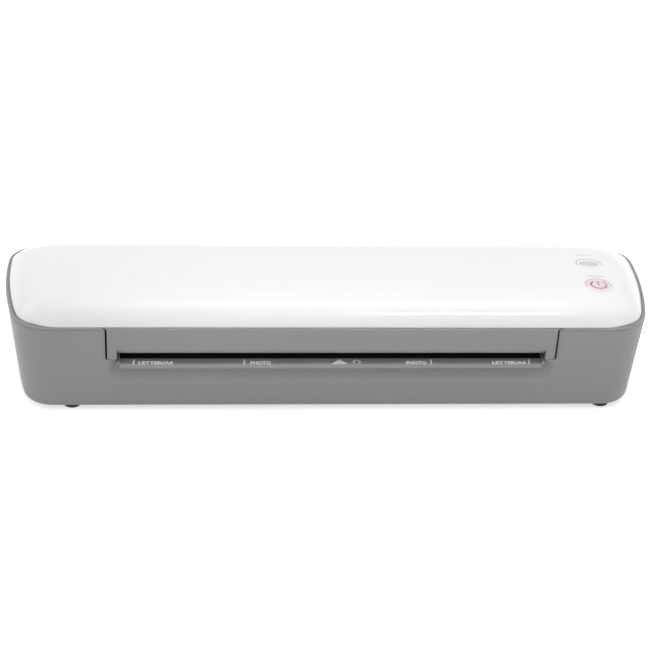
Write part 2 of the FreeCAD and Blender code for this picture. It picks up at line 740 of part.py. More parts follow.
lower_at = (roller_y, lower_axis_z)
upper_at = (roller_y, upper_axis_z)
idler_gap = gear_module * (roller_teeth + idler_teeth) / 2
idler_at = (roller_y - idler_gap * math.cos(idler_angle),
            lower_axis_z + idler_gap * math.sin(idler_angle))
pinion_gap = gear_module * (idler_teeth + pinion_teeth) / 2
pinion_at = (idler_at[0] - pinion_gap * math.cos(pinion_angle),
             idler_at[1] + pinion_gap * math.sin(pinion_angle))
motor_at = (pinion_at[0] + motor_offset * math.sqrt(0.5), pinion_at[1] - motor_offset * math.sqrt(0.5))
motor_r = motor_at[0] + half_d - motor_front
lower_phase = 0.0
upper_phase = meshing_phase(lower_phase, roller_teeth, lower_at, roller_teeth, upper_at)
idler_phase = meshing_phase(lower_phase, roller_teeth, lower_at, idler_teeth, idler_at)
pinion_phase = meshing_phase(idler_phase, idler_teeth, idler_at, pinion_teeth, pinion_at)


def make_roller_shaft(z):
    """A stepped steel shaft: the core under the sleeve and a journal at each end."""
    core_x = frame_in - core_end_gap
    left_x = -(frame_out + bush_flange + journal_out)
    core = rod(core_r, V(-core_x, roller_y, z), 2 * core_x)
    journals = rod(journal_r, V(left_x, roller_y, z), gear_x1 + gear_keeper - left_x)
    return core.fuse(journals).removeSplitter()


def make_sleeve(z):
    half_x = half_slot + roller_over
    return ring(roller_r, core_r, V(-half_x, roller_y, z), 2 * half_x)


def make_shaft_clip(z):
    """The ring that keeps a shaft's left end in its bush."""
    x = frame_out + bush_flange + clip_gap + clip_thick
    return ring(journal_r + clip_reach, journal_r, V(-x, roller_y, z), clip_thick)


def make_lower_bush(side):
    x0, x1 = sorted((side * (frame_in - seam), side * (frame_out + bush_flange)))
    f0, f1 = sorted((side * frame_out, side * (frame_out + bush_flange)))
    bush = rod(bush_r, V(x0, roller_y, lower_axis_z), x1 - x0)
    bush = bush.fuse(rod(bush_flange_r, V(f0, roller_y, lower_axis_z), f1 - f0))
    return bush.cut(hole(journal_r + running_fit, V(x0, roller_y, lower_axis_z), AXIS_X, frame_out))


def make_upper_bush(side):
    """A square block that rides in the frame's window: a flange at its sides, a peg on top."""
    x0, x1 = sorted((side * (frame_in - seam), side * (frame_out + bush_flange)))
    f0, f1 = sorted((side * frame_out, side * (frame_out + bush_flange)))
    z = upper_axis_z
    bush = box(x0, x1, roller_y - bush_r, roller_y + bush_r, z - bush_r, z + bush_r)
    bush = bush.fuse(box(f0, f1, roller_y - bush_flange_r, roller_y + bush_flange_r,
                         z - bush_flange_r, z + bush_r))
    peg_x = side * (frame_in + frame_thick / 2)
    bush = bush.fuse(rod(peg_r, V(peg_x, roller_y, z + journal_r + over),
                         bush_r - journal_r - over + spring_length / 3, AXIS_Z))
    return bush.cut(hole(journal_r + running_fit, V(x0, roller_y, z), AXIS_X, frame_out))


def make_spring(side):
    """The coil that presses the upper roller down."""
    rise = spring_length - 2 * spring_wire_r - 2 * plate_fit
    coil = Part.makeHelix(rise / spring_turns, rise, spring_r)
    section = Part.Wire([Part.Circle(V(spring_r, 0, 0), V(0, 1, 0), spring_wire_r).toShape()])
    wire = Part.Wire(coil.Edges).makePipeShell([section], True, True)
    wire.translate(V(side * (frame_in + frame_thick / 2), roller_y,
                     upper_axis_z + bush_r + spring_wire_r + plate_fit))
    return wire


def shoe_window(side):
    """The two holes of a frame plate that hold the shoes' tongues."""
    middle = (shoe_y0 + shoe_y1) / 2
    half = tongue_width / 2 + plate_fit
    x0, x1 = sorted((side * (frame_in - over), side * (frame_out + over)))
    low = path_z + shoe_gap / 2 - plate_fit
    high = path_z + shoe_gap / 2 + shoe_web + plate_fit
    upper = box(x0, x1, middle - half, middle + half, low, high)
    lower = box(x0, x1, middle - half, middle + half, 2 * path_z - high, 2 * path_z - low)
    return upper.fuse(lower)


def make_frame(side):
    """A bent steel plate with the rollers' bushes, the shoes' holes and a foot on the base."""
    x0, x1 = sorted((side * frame_in, side * frame_out))
    outline = [(frame_y0, boss_top_z), (frame_y1, boss_top_z), (frame_y1, rim_z),
               (roller_y + bush_r + frame_cheek, frame_top_z), (roller_y - 2 * bush_r, frame_top_z),
               (frame_y0, rim_z - frame_front_drop)]
    plate = bar_x(outline, x0, x1)
    f0, f1 = sorted((side * frame_in, side * (frame_out + flange)))
    plate = plate.fuse(box(f0, f1, frame_y0, frame_y1, boss_top_z, boss_top_z + frame_thick))
    half = bush_r + plate_fit
    window_top = upper_axis_z + bush_r + spring_length
    window = box(x0 - over, x1 + over, roller_y - half, roller_y + half, upper_axis_z - half, window_top)
    tongue = box(x0 - over, x1 + over, roller_y - peg_r, roller_y + peg_r,
                 window_top - spring_length / 3, window_top)
    plate = plate.cut(window.cut(tongue))
    plate = plate.cut(hole(half, V(x0, roller_y, lower_axis_z), AXIS_X, 2 * frame_thick))
    plate = plate.cut(shoe_window(side))
    for x, y in frame_screw_places():
        plate = plate.cut(hole(screw_r + plate_fit, V(x, y, boss_top_z), AXIS_Z, 2 * frame_thick))
    if side > 0:
        plate = plate.cut(hole(stud_rivet_r + plate_fit, V(x0, *idler_at), AXIS_X, 2 * frame_thick))
        for y, z in spacer_places():
            plate = plate.cut(hole(screw_r + plate_fit, V(x0, y, z), AXIS_X, 2 * frame_thick))
    for y, z in tie_places():
        plate = plate.cut(hole(screw_r + plate_fit, V(x0, y, z), AXIS_X, 2 * frame_thick))
    return plate


def tie_places():
    """The two tie rods, as (y, z)."""
    return [(frame_y0 + tie_edge, tie_front_z), (frame_y1 - tie_edge, tie_rear_z)]


def make_tie(place):
    tie = rod(tie_r, V(-frame_in, *place), 2 * frame_in)
    for side in (-1, 1):
        tie = tie.cut(hole(screw_r + plate_fit, V(side * frame_in, *place), AXIS_X, tie_pilot))
    return tie


# ---- heat shoes --------------------------------------------------------------------------

def shoe_half_x():
    return frame_in - shoe_inset


def make_shoe(upper):
    z0 = path_z + shoe_gap / 2
    section = [(shoe_y0 + shoe_bevel, z0), (shoe_y1, z0), (shoe_y1, z0 + shoe_height),
               (shoe_y1 - shoe_wall, z0 + shoe_height), (shoe_y1 - shoe_wall, z0 + shoe_web),
               (shoe_y0 + shoe_wall, z0 + shoe_web), (shoe_y0 + shoe_wall, z0 + shoe_height),
               (shoe_y0, z0 + shoe_height), (shoe_y0, z0 + shoe_bevel)]
    shoe = bar_x(section, -shoe_half_x(), shoe_half_x())
    middle = (shoe_y0 + shoe_y1) / 2
    shoe = shoe.fuse(box(-frame_out, frame_out, middle - tongue_width / 2,
                         middle + tongue_width / 2, z0, z0 + shoe_web)).removeSplitter()
    return shoe if upper else shoe.mirror(V(0, 0, path_z), AXIS_Z)


def make_heater(upper):
    z0 = path_z + shoe_gap / 2 + shoe_web
    x = shoe_half_x() - heater_inset
    strip = box(-x, x, shoe_y0 + shoe_wall + seam, shoe_y1 - shoe_wall - seam, z0, z0 + heater_thick)
    return strip if upper else strip.mirror(V(0, 0, path_z), AXIS_Z)


heater_top_z = path_z + shoe_gap / 2 + shoe_web + heater_thick
shoe_mid_y = (shoe_y0 + shoe_y1) / 2


def make_thermostat():
    at = V(-half_slot / 2, shoe_mid_y, heater_top_z)
    head_r = thermostat_r - thermostat_step
    body = rod(thermostat_r, at, thermostat_base, AXIS_Z)
    body = body.fuse(rod(head_r, at, thermostat_height, AXIS_Z))
    for side in (-1, 1):
        x0, x1 = sorted((side * head_r / 2, side * (head_r + tab_reach)))
        body = body.fuse(box(at.x + x0, at.x + x1, at.y - tab_width / 2, at.y + tab_width / 2,
                             at.z + thermostat_height - 2 * tab_thick,
                             at.z + thermostat_height - tab_thick))
    return body.removeSplitter()


def make_thermal_fuse():
    at = V(half_slot / 2, shoe_mid_y, heater_top_z + fuse_r)
    lead = rod(fuse_lead_r, at - AXIS_X * (fuse_lead / 2), fuse_lead)
    return rod(fuse_r, at - AXIS_X * (fuse_length / 2), fuse_length).fuse(lead).removeSplitter()


# ---- motor -------------------------------------------------------------------------------

def spacer_places():
    """Pillars between the frame plate and the motor plate, as (y, z)."""
    return [(frame_y0 + spacer_edge / 2, boss_top_z + frame_thick + spacer_gap + spacer_r),
            (idler_at[0] + spacer_behind, frame_top_z - spacer_drop),
            (frame_y1 - spacer_edge, path_z - spacer_edge / 2)]


def make_idler_stud():
    y, z = idler_at
    body = rod(journal_r, V(frame_out, y, z), gear_x1 + stud_over - frame_out)
    body = body.fuse(rod(stud_rivet_r, V(frame_in, y, z), frame_thick + over))
    step = rod(journal_r + stud_step, V(frame_out, y, z), gear_clear - stud_gap)
    return body.fuse(step).removeSplitter()


def make_spacers():
    return group([ring(spacer_r, screw_r + plate_fit, V(frame_out, y, z), motor_plate_x - frame_out)
                  for y, z in spacer_places()])


def make_motor_plate():
    x1 = motor_plate_x + motor_plate
    margin = plate_margin
    (y0, z0), (y1, z1), (y2, z2) = spacer_places()
    front = motor_ear_places()[0][0] - screw_head_r
    ear_low = motor_ear_places()[0][1] - motor_ear_r
    outline = [(front, ear_low), (y0 - screw_head_r, z0 - margin),
               (y0 + 2 * margin, z0 - margin), (y2 + margin, z2 - 2 * margin),
               (y2 + margin, z2 + margin), (y1 + margin, z1 + margin), (y1 - margin, z1 + margin),
               (front, pinion_at[1] + margin)]
    plate = bar_x(outline, motor_plate_x, x1)
    for y, z in spacer_places():
        plate = plate.cut(hole(screw_r + plate_fit, V(motor_plate_x, y, z), AXIS_X, 2 * motor_plate))
    plate = plate.cut(hole(2 * motor_shaft_r, V(motor_plate_x, *pinion_at), AXIS_X, 2 * motor_plate))
    for y, z in motor_ear_places():
        plate = plate.cut(hole(screw_r + plate_fit, V(motor_plate_x, y, z), AXIS_X, 2 * motor_plate))
    return plate


def motor_ear_places():
    """Screw holes of the motor's two ears, level with its middle."""
    reach = motor_r + motor_ear_reach
    return [(motor_at[0] + side * reach * math.cos(motor_ear_angle),
             motor_at[1] + side * reach * math.sin(motor_ear_angle)) for side in (-1, 1)]


def make_motor():
    body = rod(motor_r, V(motor_x0, *motor_at), motor_length)
    rim = [e for e in body.Edges if e.BoundBox.XMin > motor_x0 + motor_length / 2]
    body = body.makeFillet(motor_edge, rim)
    for y, z in motor_ear_places():
        body = body.fuse(rod(motor_ear_r, V(motor_x0, y, z), motor_ear_thick))
    for y, z in motor_ear_places():
        body = body.cut(hole(screw_r + plate_fit, V(motor_x0, y, z), AXIS_X, 2 * motor_ear_thick))
    return body.cut(hole(motor_shaft_r + running_fit, V(motor_x0, *pinion_at), AXIS_X, motor_socket))


def make_pinion():
    """The motor's output shaft with its pinion."""
    wheel = gear(pinion_teeth, gear_x0, gear_x1, *pinion_at, pinion_phase, motor_shaft_r / 2)
    start = gear_x0 - gear_keeper
    end = motor_x0 + motor_socket - motor_edge
    shaft = rod(motor_shaft_r, V(start, *pinion_at), end - start)
    return wheel.fuse(shaft).removeSplitter()


# ---- mains side --------------------------------------------------------------------------

def make_power_board():
    return box(power_board_x0, power_board_x1, power_board_y0, power_board_y1,
               power_board_z, power_board_z + board_thick)


def on_board(y0, width, length, height):
    """A block on the power board, from a depth y0 towards the back."""
    x0 = power_board_x0 + block_edge
    z0 = power_board_z + board_thick
    return box(x0, x0 + width, y0, y0 + length, z0, z0 + height)


def make_terminal_block():
    y0 = power_board_y0 + block_edge
    block = on_board(y0, block_width, block_length, block_height)
    x = power_board_x0 + block_edge + block_width / 2
    z = power_board_z + board_thick + block_height
    for k in range(block_screws):
        y = y0 + block_length * (k + 0.5) / block_screws
        block = block.cut(hole(block_hole_r, V(x, y, z), AXIS_Z, block_hole))
    return block


def make_relay():
    y0 = power_board_y1 - over - relay_length
    return on_board(y0, relay_width, relay_length, relay_height)


def make_capacitor():
    x = power_board_x0 + block_edge + capacitor_r
    y = power_board_y0 + block_edge + block_length + over + capacitor_r
    return rod(capacitor_r, V(x, y, power_board_z + board_thick), capacitor_height, AXIS_Z)


def make_cord_inlet():
    """The rubber bush in the back wall."""
    depth = wall + inlet_nose
    bush = rod(inlet_r - plate_fit, inlet_at - inlet_out * depth, depth, inlet_out)
    bush = bush.fuse(rod(inlet_flange_r, inlet_at, inlet_flange, inlet_out))
    inner = inlet_at - inlet_out * (wall + inlet_play + inlet_flange)
    bush = bush.fuse(rod(inlet_flange_r, inner, inlet_flange, inlet_out))
    return bush.cut(hole(inlet_bore_r, inlet_at, inlet_out, 2 * depth))


def foot_places():
    return [(x, front_foot_y) for x in front_foot_x] + [(x, rear_foot_y) for x in rear_foot_x]


def make_foot(place):
    foot = rod(foot_r, V(*place, 0), foot_height + foot_seat, AXIS_Z)
    return foot.makeFillet(foot_edge, [e for e in foot.Edges if e.BoundBox.ZMax < near])


def make_case_screws():
    return group([screw(V(x, y, screw_seat_z), AXIS_Z, post_join_z + case_bite - screw_seat_z)
                  for x, y in post_places()])


def make_frame_screws():
    """Screws of the frame plates, of the tie rods and of the motor's pillars."""
    top = boss_top_z + frame_thick
    out = [screw(V(x, y, top), AXIS_Z * -1, frame_screw) for x, y in frame_screw_places()]
    for side in (-1, 1):
        for y, z in tie_places():
            out.append(screw(V(side * frame_out, y, z), AXIS_X * -side, tie_screw))
    return group(out)


def make_motor_screws():
    back = AXIS_X * -1
    pillars = [screw(V(motor_x0, y, z), back, pillar_screw) for y, z in spacer_places()]
    ear_x = motor_x0 + motor_ear_thick
    ears = [screw(V(ear_x, y, z), back, ear_screw) for y, z in motor_ear_places()]
    return group(pillars + ears)


def make_board_screws():
    return group([screw(power_at + power_along * t - power_up * (board_depth + board_thick)
                        + V(x, 0, 0), power_up, board_screw) for x, t in board_screw_places()])


shapes = {
    "base_shell": make_base_shell(),
    "lid": make_lid(),
    "front_bezel": make_front_bezel(),
    "entry_shelf": make_entry_shelf(),
    "exit_guide": make_exit_guide(),
    "power_button": make_power_button(),
    "switch_plunger": make_switch_plunger(),
    "power_switch": make_power_switch(),
    "ready_lens": make_ready_lens(),
    "status_leds": make_leds(),
    "control_board": make_control_board(),
    "board_screws": make_board_screws(),
    "upper_heat_shoe": make_shoe(True),
    "lower_heat_shoe": make_shoe(False),
    "upper_heater": make_heater(True),
    "lower_heater": make_heater(False),
    "thermostat": make_thermostat(),
    "thermal_fuse": make_thermal_fuse(),
    "upper_roller_shaft": make_roller_shaft(upper_axis_z),
    "lower_roller_shaft": make_roller_shaft(lower_axis_z),
    "upper_roller_sleeve": make_sleeve(upper_axis_z),
    "lower_roller_sleeve": make_sleeve(lower_axis_z),
    "upper_shaft_clip": make_shaft_clip(upper_axis_z),
    "lower_shaft_clip": make_shaft_clip(lower_axis_z),
    "upper_roller_gear": gear(roller_teeth, gear_x0, gear_x1, *upper_at, upper_phase, journal_r),
    "lower_roller_gear": gear(roller_teeth, gear_x0, gear_x1, *lower_at, lower_phase, journal_r),
    "idler_gear": gear(idler_teeth, gear_x0, gear_x1, *idler_at, idler_phase,
                       journal_r + running_fit),
    "idler_stud": make_idler_stud(),
    "motor_pinion": make_pinion(),
    "drive_motor": make_motor(),
    "motor_plate": make_motor_plate(),
    "motor_spacers": make_spacers(),
    "motor_screws": make_motor_screws(),
    "frame_screws": make_frame_screws(),
    "case_screws": make_case_screws(),
    "power_board": make_power_board(),
    "terminal_block": make_terminal_block(),
    "mains_relay": make_relay(),
    "smoothing_capacitor": make_capacitor(),
    "cord_inlet": make_cord_inlet(),
}
for name, side in (("left", -1), ("right", 1)):
    shapes["frame_" + name] = make_frame(side)
    shapes["lower_bush_" + name] = make_lower_bush(side)
    shapes["upper_bush_" + name] = make_upper_bush(side)
    shapes["pressure_spring_" + name] = make_spring(side)
for name, place in zip(("front", "rear"), tie_places()):
    shapes["tie_rod_" + name] = make_tie(place)
for name, place in zip(("front_left", "front_right", "rear_left", "rear_right"), foot_places()):
    shapes["foot_" + name] = make_foot(place)

os.makedirs("parts", exist_ok=True)
for name, shape in shapes.items():
    shape.exportStep("parts/" + name + ".step")
    print(f"{name:22s} {len(shape.Solids)} solids {shape.Volume:10.0f} mm3 valid {shape.isValid()}")
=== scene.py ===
"""Pouch laminator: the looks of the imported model.

Every length below is in millimetres and is turned to metres where a mesh is made.
X runs to the right, Y to the back and Z up, with the origin on the floor under the casing.
"""
import json
import math

import bmesh
import bpy
import numpy as np
from mathutils import Matrix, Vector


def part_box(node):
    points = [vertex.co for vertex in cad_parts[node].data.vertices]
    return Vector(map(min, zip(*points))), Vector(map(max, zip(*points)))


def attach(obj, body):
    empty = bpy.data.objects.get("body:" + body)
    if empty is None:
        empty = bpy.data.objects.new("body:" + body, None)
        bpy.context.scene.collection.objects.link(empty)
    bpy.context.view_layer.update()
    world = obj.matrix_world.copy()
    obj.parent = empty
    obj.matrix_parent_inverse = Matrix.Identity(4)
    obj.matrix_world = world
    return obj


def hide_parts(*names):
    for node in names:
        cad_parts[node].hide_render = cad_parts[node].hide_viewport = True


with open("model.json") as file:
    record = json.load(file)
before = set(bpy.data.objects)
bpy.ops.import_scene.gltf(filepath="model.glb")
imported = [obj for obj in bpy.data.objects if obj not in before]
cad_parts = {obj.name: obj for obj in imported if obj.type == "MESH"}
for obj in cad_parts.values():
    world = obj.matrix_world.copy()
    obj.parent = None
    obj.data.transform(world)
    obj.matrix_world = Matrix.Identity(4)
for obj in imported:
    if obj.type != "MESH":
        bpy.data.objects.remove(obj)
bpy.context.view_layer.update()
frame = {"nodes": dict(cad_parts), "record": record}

MM = 0.001


def corners_mm(node):
    """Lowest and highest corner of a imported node, in millimetres."""
    low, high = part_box(node)
    return np.array(low) / MM, np.array(high) / MM


# ---- sizes -------------------------------------------------------------------------------

base_low, base_high = corners_mm("base_shell")
lid_low, lid_high = corners_mm("lid")
bezel_low, bezel_high = corners_mm("front_bezel")
shelf_low, shelf_high = corners_mm("entry_shelf")
duct_low, duct_high = corners_mm("exit_guide")
lens_low, lens_high = corners_mm("ready_lens")

# The casing's plan and section: its walls lean in by lean per length down, its ends bow out by
# an arc whose centre lies at (bow_x, bow_y), and an arc of under_r meets the floor.
half_d, half_w = 52.0, 185.5
rim_z = float(base_high[2])
base_z = float(base_low[2])
wall = 2.3
lean = 0.106
front_corner, rear_corner = 23.0, 20.0
bow_r, bow_y = 253.0, 24.0
bow_x = half_w - bow_r
under_r = 5.0
seam = 0.3

# The lid: its insets from the rim, the radius of its front corners, the heights where its edge
# stands and starts to rise, its crest, where its ends start to fall, and the powers of its curves.
lid_side, lid_front, lid_corner = 2.4, 0.6, 26.0
lid_seat, lid_edge = rim_z + 0.03, rim_z + 0.38
lid_rise = float(lid_high[2]) - lid_edge
lid_wall = 2.2
crest_y = -25.0
front_power, back_power = 3.0, 1.9
roll_x, roll_power = 130.0, 5.0
skirt_inset, skirt_drop, skirt_thick = 2.609, 1.5, 1.5

# The fascia: half the mouth's width, the fascia's side and foot, the gap in front of its side,
# the mouth's upper edge and the end of its lead-in, and the arc of its top corners.
half_slot = 120.0
cheek_x = float(bezel_high[0])
cheek_gap = 0.7
foot_z = float(bezel_low[2])
mouth_z = 38.1
lead_y, lead_z = -38.0, 37.0
ear_r = 2.0
fascia_wall = 1.2

# The tray, and the hollow under it.
shelf_z, shelf_thick = 31.9, 2.3
shelf_back = float(shelf_high[1])
shelf_lip = float(shelf_low[1])
shelf_slope = (float(shelf_high[2]) - shelf_z) / (shelf_back - shelf_lip)
slot_low = shelf_z - shelf_thick - 1.0
hollow_side, hollow_high, hollow_deep = 6.0, 10.5, 4.0

# The openings behind and below: exit, vents on each side of the middle, cord, screw wells.
duct_x = float(duct_high[0]) + seam
duct_z = (float(duct_low[2]) - seam, float(duct_high[2]) + seam)
vent_half, vent_z, floor_vent_y = 1.5, (14.0, 23.0), 11
vent_at = [60 + (k - 4) * 9 for k in range(9)]
inlet_x, inlet_z, inlet_r = -150.0, 22.0, 6.5
inlet_above, inlet_below, inlet_side = 8, 9, 10
wells = [(s * x, y) for s in (-1, 1) for x, y in ((167.2, -25.0), (171.0, 30.0))]
well_r, well_low, well_deep = 3.1, 3, 28

# The controls on the lid.
control_x = float(lens_low[0] + lens_high[0]) / 2
ready_y = float(lens_low[1] + lens_high[1]) / 2
power_y = ready_y - 28.8
button_r = 5.0
lens_r = 4.4
print_high = 0.05


# ---- materials ---------------------------------------------------------------------------

def linear(shade):
    """A colour written as sRGB hex, turned to linear."""
    value = [int(shade[k:k + 2], 16) / 255 for k in (1, 3, 5)]
    return [v / 12.92 if v <= 0.04045 else ((v + 0.055) / 1.055) ** 2.4 for v in value] + [1.0]


def add(tree, kind, settings=(), links=()):
    """Adds a node: lower-case settings are its own options, the others are input values."""
    made = tree.nodes.new(kind)
    for key, value in dict(settings).items():
        if isinstance(key, str) and key[0].islower():
            setattr(made, key, value)
        else:
            made.inputs[key].default_value = value
    for key, source in dict(links).items():
        tree.links.new(source, made.inputs[key])
    return made


def finish(name, colour, rough, spread=0.03, tint=0.03, cloud=30.0, grain=0.5, depth=0.01, **shader):
    """A moulded or metal surface on Object coordinates.

    A slow noise (cloud, mm) varies the colour by tint and the roughness by spread; a fine noise
    (grain, mm) gives the surface its bump, as deep as depth (mm). Other names are the shader's.
    """
    material = bpy.data.materials.new(name)
    material.use_nodes = True
    tree = material.node_tree
    tree.nodes.clear()
    place = add(tree, "ShaderNodeTexCoord").outputs["Object"]
    slow = add(tree, "ShaderNodeTexNoise", {"Scale": 1000 / cloud, "Detail": 2.0}, {"Vector": place})
    fine = add(tree, "ShaderNodeTexNoise", {"Scale": 1000 / grain, "Detail": 1.0}, {"Vector": place})
    tone = add(tree, "ShaderNodeMapRange", {"To Min": 1 - tint, "To Max": 1 + tint},
               {"Value": slow.outputs["Fac"]})
    paint = add(tree, "ShaderNodeMix", {"data_type": "RGBA", "blend_type": "MULTIPLY", 0: 1.0,
                                        6: linear(colour)}, {7: tone.outputs["Result"]})
    gloss = add(tree, "ShaderNodeMapRange", {"To Min": rough - spread, "To Max": rough + spread},
                {"Value": slow.outputs["Fac"]})
    bump = add(tree, "ShaderNodeBump", {"Strength": 1.0, "Distance": depth * MM},
               {"Height": fine.outputs["Fac"]})
    surface = add(tree, "ShaderNodeBsdfPrincipled", shader,
                  {"Base Color": paint.outputs[2], "Roughness": gloss.outputs["Result"],
                   "Normal": bump.outputs["Normal"]})
    add(tree, "ShaderNodeOutputMaterial", {}, {"Surface": surface.outputs["BSDF"]})
    return material


def paint_lamp_glow(material, at, reach, colour, share):
    """Paints a lamp's glow into a material's colour round a point: painted light, as from a lamp behind
    the wall that shines through it.
    """
    tree = material.node_tree
    surface = next(n for n in tree.nodes if n.type == "BSDF_PRINCIPLED")
    before = surface.inputs["Base Color"].links[0].from_socket
    place = add(tree, "ShaderNodeTexCoord").outputs["Object"]
    away = add(tree, "ShaderNodeVectorMath", {"operation": "DISTANCE", 1: [v * MM for v in at]},
               {0: place})
    near = add(tree, "ShaderNodeMapRange", {"interpolation_type": "SMOOTHSTEP", "From Min": reach[0] * MM,
                                            "From Max": reach[1] * MM, "To Min": share, "To Max": 0.0},
               {"Value": away.outputs["Value"]})
    mix = add(tree, "ShaderNodeMix", {"data_type": "RGBA", 7: linear(colour)},
              {0: near.outputs["Result"], 6: before})
    tree.links.new(mix.outputs[2], surface.inputs["Base Color"])


# High-gloss ABS from a polished mould: a hard clear reflection with the faintest long ripple.
white_abs = finish("white_gloss_abs", "#efefef", 0.16, spread=0.02, tint=0.004, cloud=60, grain=9.0,
                   depth=0.012)
# ABS from a fine spark-eroded mould: a satin grey whose tiny grain breaks up the reflection.
grey_abs = finish("grey_satin_abs", "#939394", 0.42, spread=0.04, tint=0.02, cloud=45, grain=0.7,
                  depth=0.012)
# Heat-proof black polyamide: matt from its glass fibre. Also the thin black sheet in the throat, which
# paints the throat's shade.
black_pa = finish("black_glass_filled_polyamide", "#0a0a0b", 0.65, spread=0.05, tint=0.1, cloud=8,
                  grain=0.6, depth=0.02)
# Translucent acrylic over a red lamp: a polished cap whose pink colour is painted light from the lamp
# behind it.
lamp_painted_pink_acrylic = finish("acrylic_painted_pink_by_red_lamp", "#ecd3d8", 0.22, spread=0.02, tint=0.02, cloud=6, grain=3,
                      depth=0.01)
# Translucent acrylic over an unlit green lamp: a pale grey green.
green_acrylic = finish("unlit_green_acrylic", "#c9d1cb", 0.18, spread=0.02, tint=0.03, cloud=5,
                       grain=3, depth=0.01)
# Pad-printed white ink: flat and slightly chalky.
white_ink = finish("white_pad_print", "#fcfcfc", 0.6, spread=0.03, tint=0.02, cloud=3, grain=0.4,
                   depth=0.004)
# Grey pad-printed ink of the pouch mark on the tray; on the lid, grey lines that paint the shade of the
# grooves round the controls.
grey_ink_and_groove_shade = finish("grey_print_and_groove_shade", "#9b9b99", 0.5, spread=0.03, tint=0.03, cloud=3, grain=0.4,
                  depth=0.004)
# Dark red-grey ink of the power mark, on the lit cap.
mark_ink = finish("dusky_pad_print", "#9a7f83", 0.5, spread=0.03, tint=0.04, cloud=3, grain=0.4,
                  depth=0.004)
# Thermoplastic rubber: dull and slightly open-pored.
rubber = finish("grey_thermoplastic_rubber", "#2c2c2d", 0.75, spread=0.05, tint=0.08, cloud=4, grain=0.5,
                depth=0.03)
# Silicone rubber sleeves, ground round: a dull rust red.
silicone = finish("ground_silicone_rubber", "#5c2a20", 0.7, spread=0.05, tint=0.08, cloud=6, grain=0.4,
                  depth=0.02)
# Bright drawn steel: long fine marks and a broad reflection.
steel = finish("drawn_steel", "#a9aaab", 0.34, spread=0.06, tint=0.05, cloud=12, grain=0.4, depth=0.006,
               Metallic=1.0)
# Zinc-plated sheet: a cool bloom that varies from place to place.
zinc = finish("zinc_plated_sheet", "#a3a6a6", 0.45, spread=0.1, tint=0.1, cloud=6, grain=0.5, depth=0.006,
              Metallic=1.0)
# Extruded aluminium, hard anodised dark grey as on heat shoes.
aluminium = finish("anodised_aluminium", "#6a6b6d", 0.4, spread=0.05, tint=0.04, cloud=10, grain=0.4,
                   depth=0.006, Metallic=1.0)
# Sintered bronze: porous and oily.
bronze = finish("sintered_bronze", "#8a6a3c", 0.5, spread=0.08, tint=0.1, cloud=2, grain=0.3, depth=0.02,
                Metallic=1.0)
# Acetal gears: waxy ivory.
acetal = finish("cut_acetal", "#ded9c8", 0.4, spread=0.04, tint=0.03, cloud=10, grain=0.6, depth=0.006)
# Glass-epoxy board under green solder mask.
board = finish("green_solder_mask", "#1d4b2c", 0.35, spread=0.06, tint=0.15, cloud=2, grain=0.4,
               depth=0.02)
# Pressed mica sheet round the heater strip.
mica = finish("pressed_mica", "#7d6a45", 0.55, spread=0.1, tint=0.2, cloud=5, grain=0.8, depth=0.02)
# Unglazed steatite, as thermostats have.
steatite = finish("unglazed_steatite", "#d6cfc0", 0.7, spread=0.05, tint=0.05, cloud=4, grain=0.4,
                  depth=0.015)
# Polyamide of the terminal block.
green_pa = finish("green_polyamide", "#2f6b3c", 0.5, spread=0.05, tint=0.06, cloud=5, grain=0.5,
                  depth=0.01)

slot_finish = {"grey_plastic": grey_abs, "white_plastic": white_abs, "black_plastic": black_pa,
               "clear_plastic": green_acrylic, "button_plastic": lamp_painted_pink_acrylic, "rubber": rubber,
               "silicone": silicone, "steel": steel, "zinc_plate": zinc, "aluminium": aluminium,
               "bronze": bronze, "gear_plastic": acetal, "board": board, "mica": mica,
               "ceramic": steatite, "terminal": green_pa}


# ---- meshes ------------------------------------------------------------------------------

def grid_faces(rows, cols, first=0, keep=None):
    """Four-sided faces between the points of a rows x cols grid; keep is a mask of its cells."""
    index = first + np.arange(rows * cols).reshape(rows, cols)
    faces = np.stack([index[:-1, :-1], index[:-1, 1:], index[1:, 1:], index[1:, :-1]], axis=-1)
    return faces[keep] if keep is not None else faces.reshape(-1, 4)


def piece(name, sheets, material, body="casing", replaces=(), weld=0.004, smooth=35.0,
          fill=None):
    """A mesh of one or more sheets, each a (rows, cols, 3) array of points in mm, or that and a
    mask of its cells. Points that meet are merged and the faces turned outward."""
    points, faces, count = [], [], 0
    for sheet in sheets:
        grid, keep = sheet if isinstance(sheet, tuple) else (sheet, None)
        rows, cols = grid.shape[:2]
        points.append(grid.reshape(-1, 3))
        faces.append(grid_faces(rows, cols, count, keep))
        count += rows * cols
    mesh = bpy.data.meshes.new(name)
    mesh.from_pydata(np.concatenate(points) * MM, [], np.concatenate(faces))
    shape = bmesh.new()
    shape.from_mesh(mesh)
    bmesh.ops.remove_doubles(shape, verts=shape.verts, dist=weld * MM)
    if fill:
        fill(shape)
    bmesh.ops.dissolve_degenerate(shape, edges=shape.edges, dist=1e-7)
    bmesh.ops.delete(shape, geom=[v for v in shape.verts if not v.link_faces], context="VERTS")
    bmesh.ops.recalc_face_normals(shape, faces=shape.faces)
    shape.to_mesh(mesh)
    shape.free()
    mesh.materials.append(material)
    mesh.polygons.foreach_set("use_smooth", np.ones(len(mesh.polygons), bool))
    mesh.set_sharp_from_angle(angle=math.radians(smooth))
    obj = bpy.data.objects.new(name, mesh)
    bpy.context.collection.objects.link(obj)
    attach(obj, body)
    if replaces:
        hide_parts(*replaces)
    return obj


def thicken(obj, depth):
    """Gives a sheet its moulded wall, inward from the face that shows."""
    solid = obj.modifiers.new("wall", "SOLIDIFY")
    solid.thickness = depth * MM
    solid.offset = -1.0
    solid.use_quality_normals = True


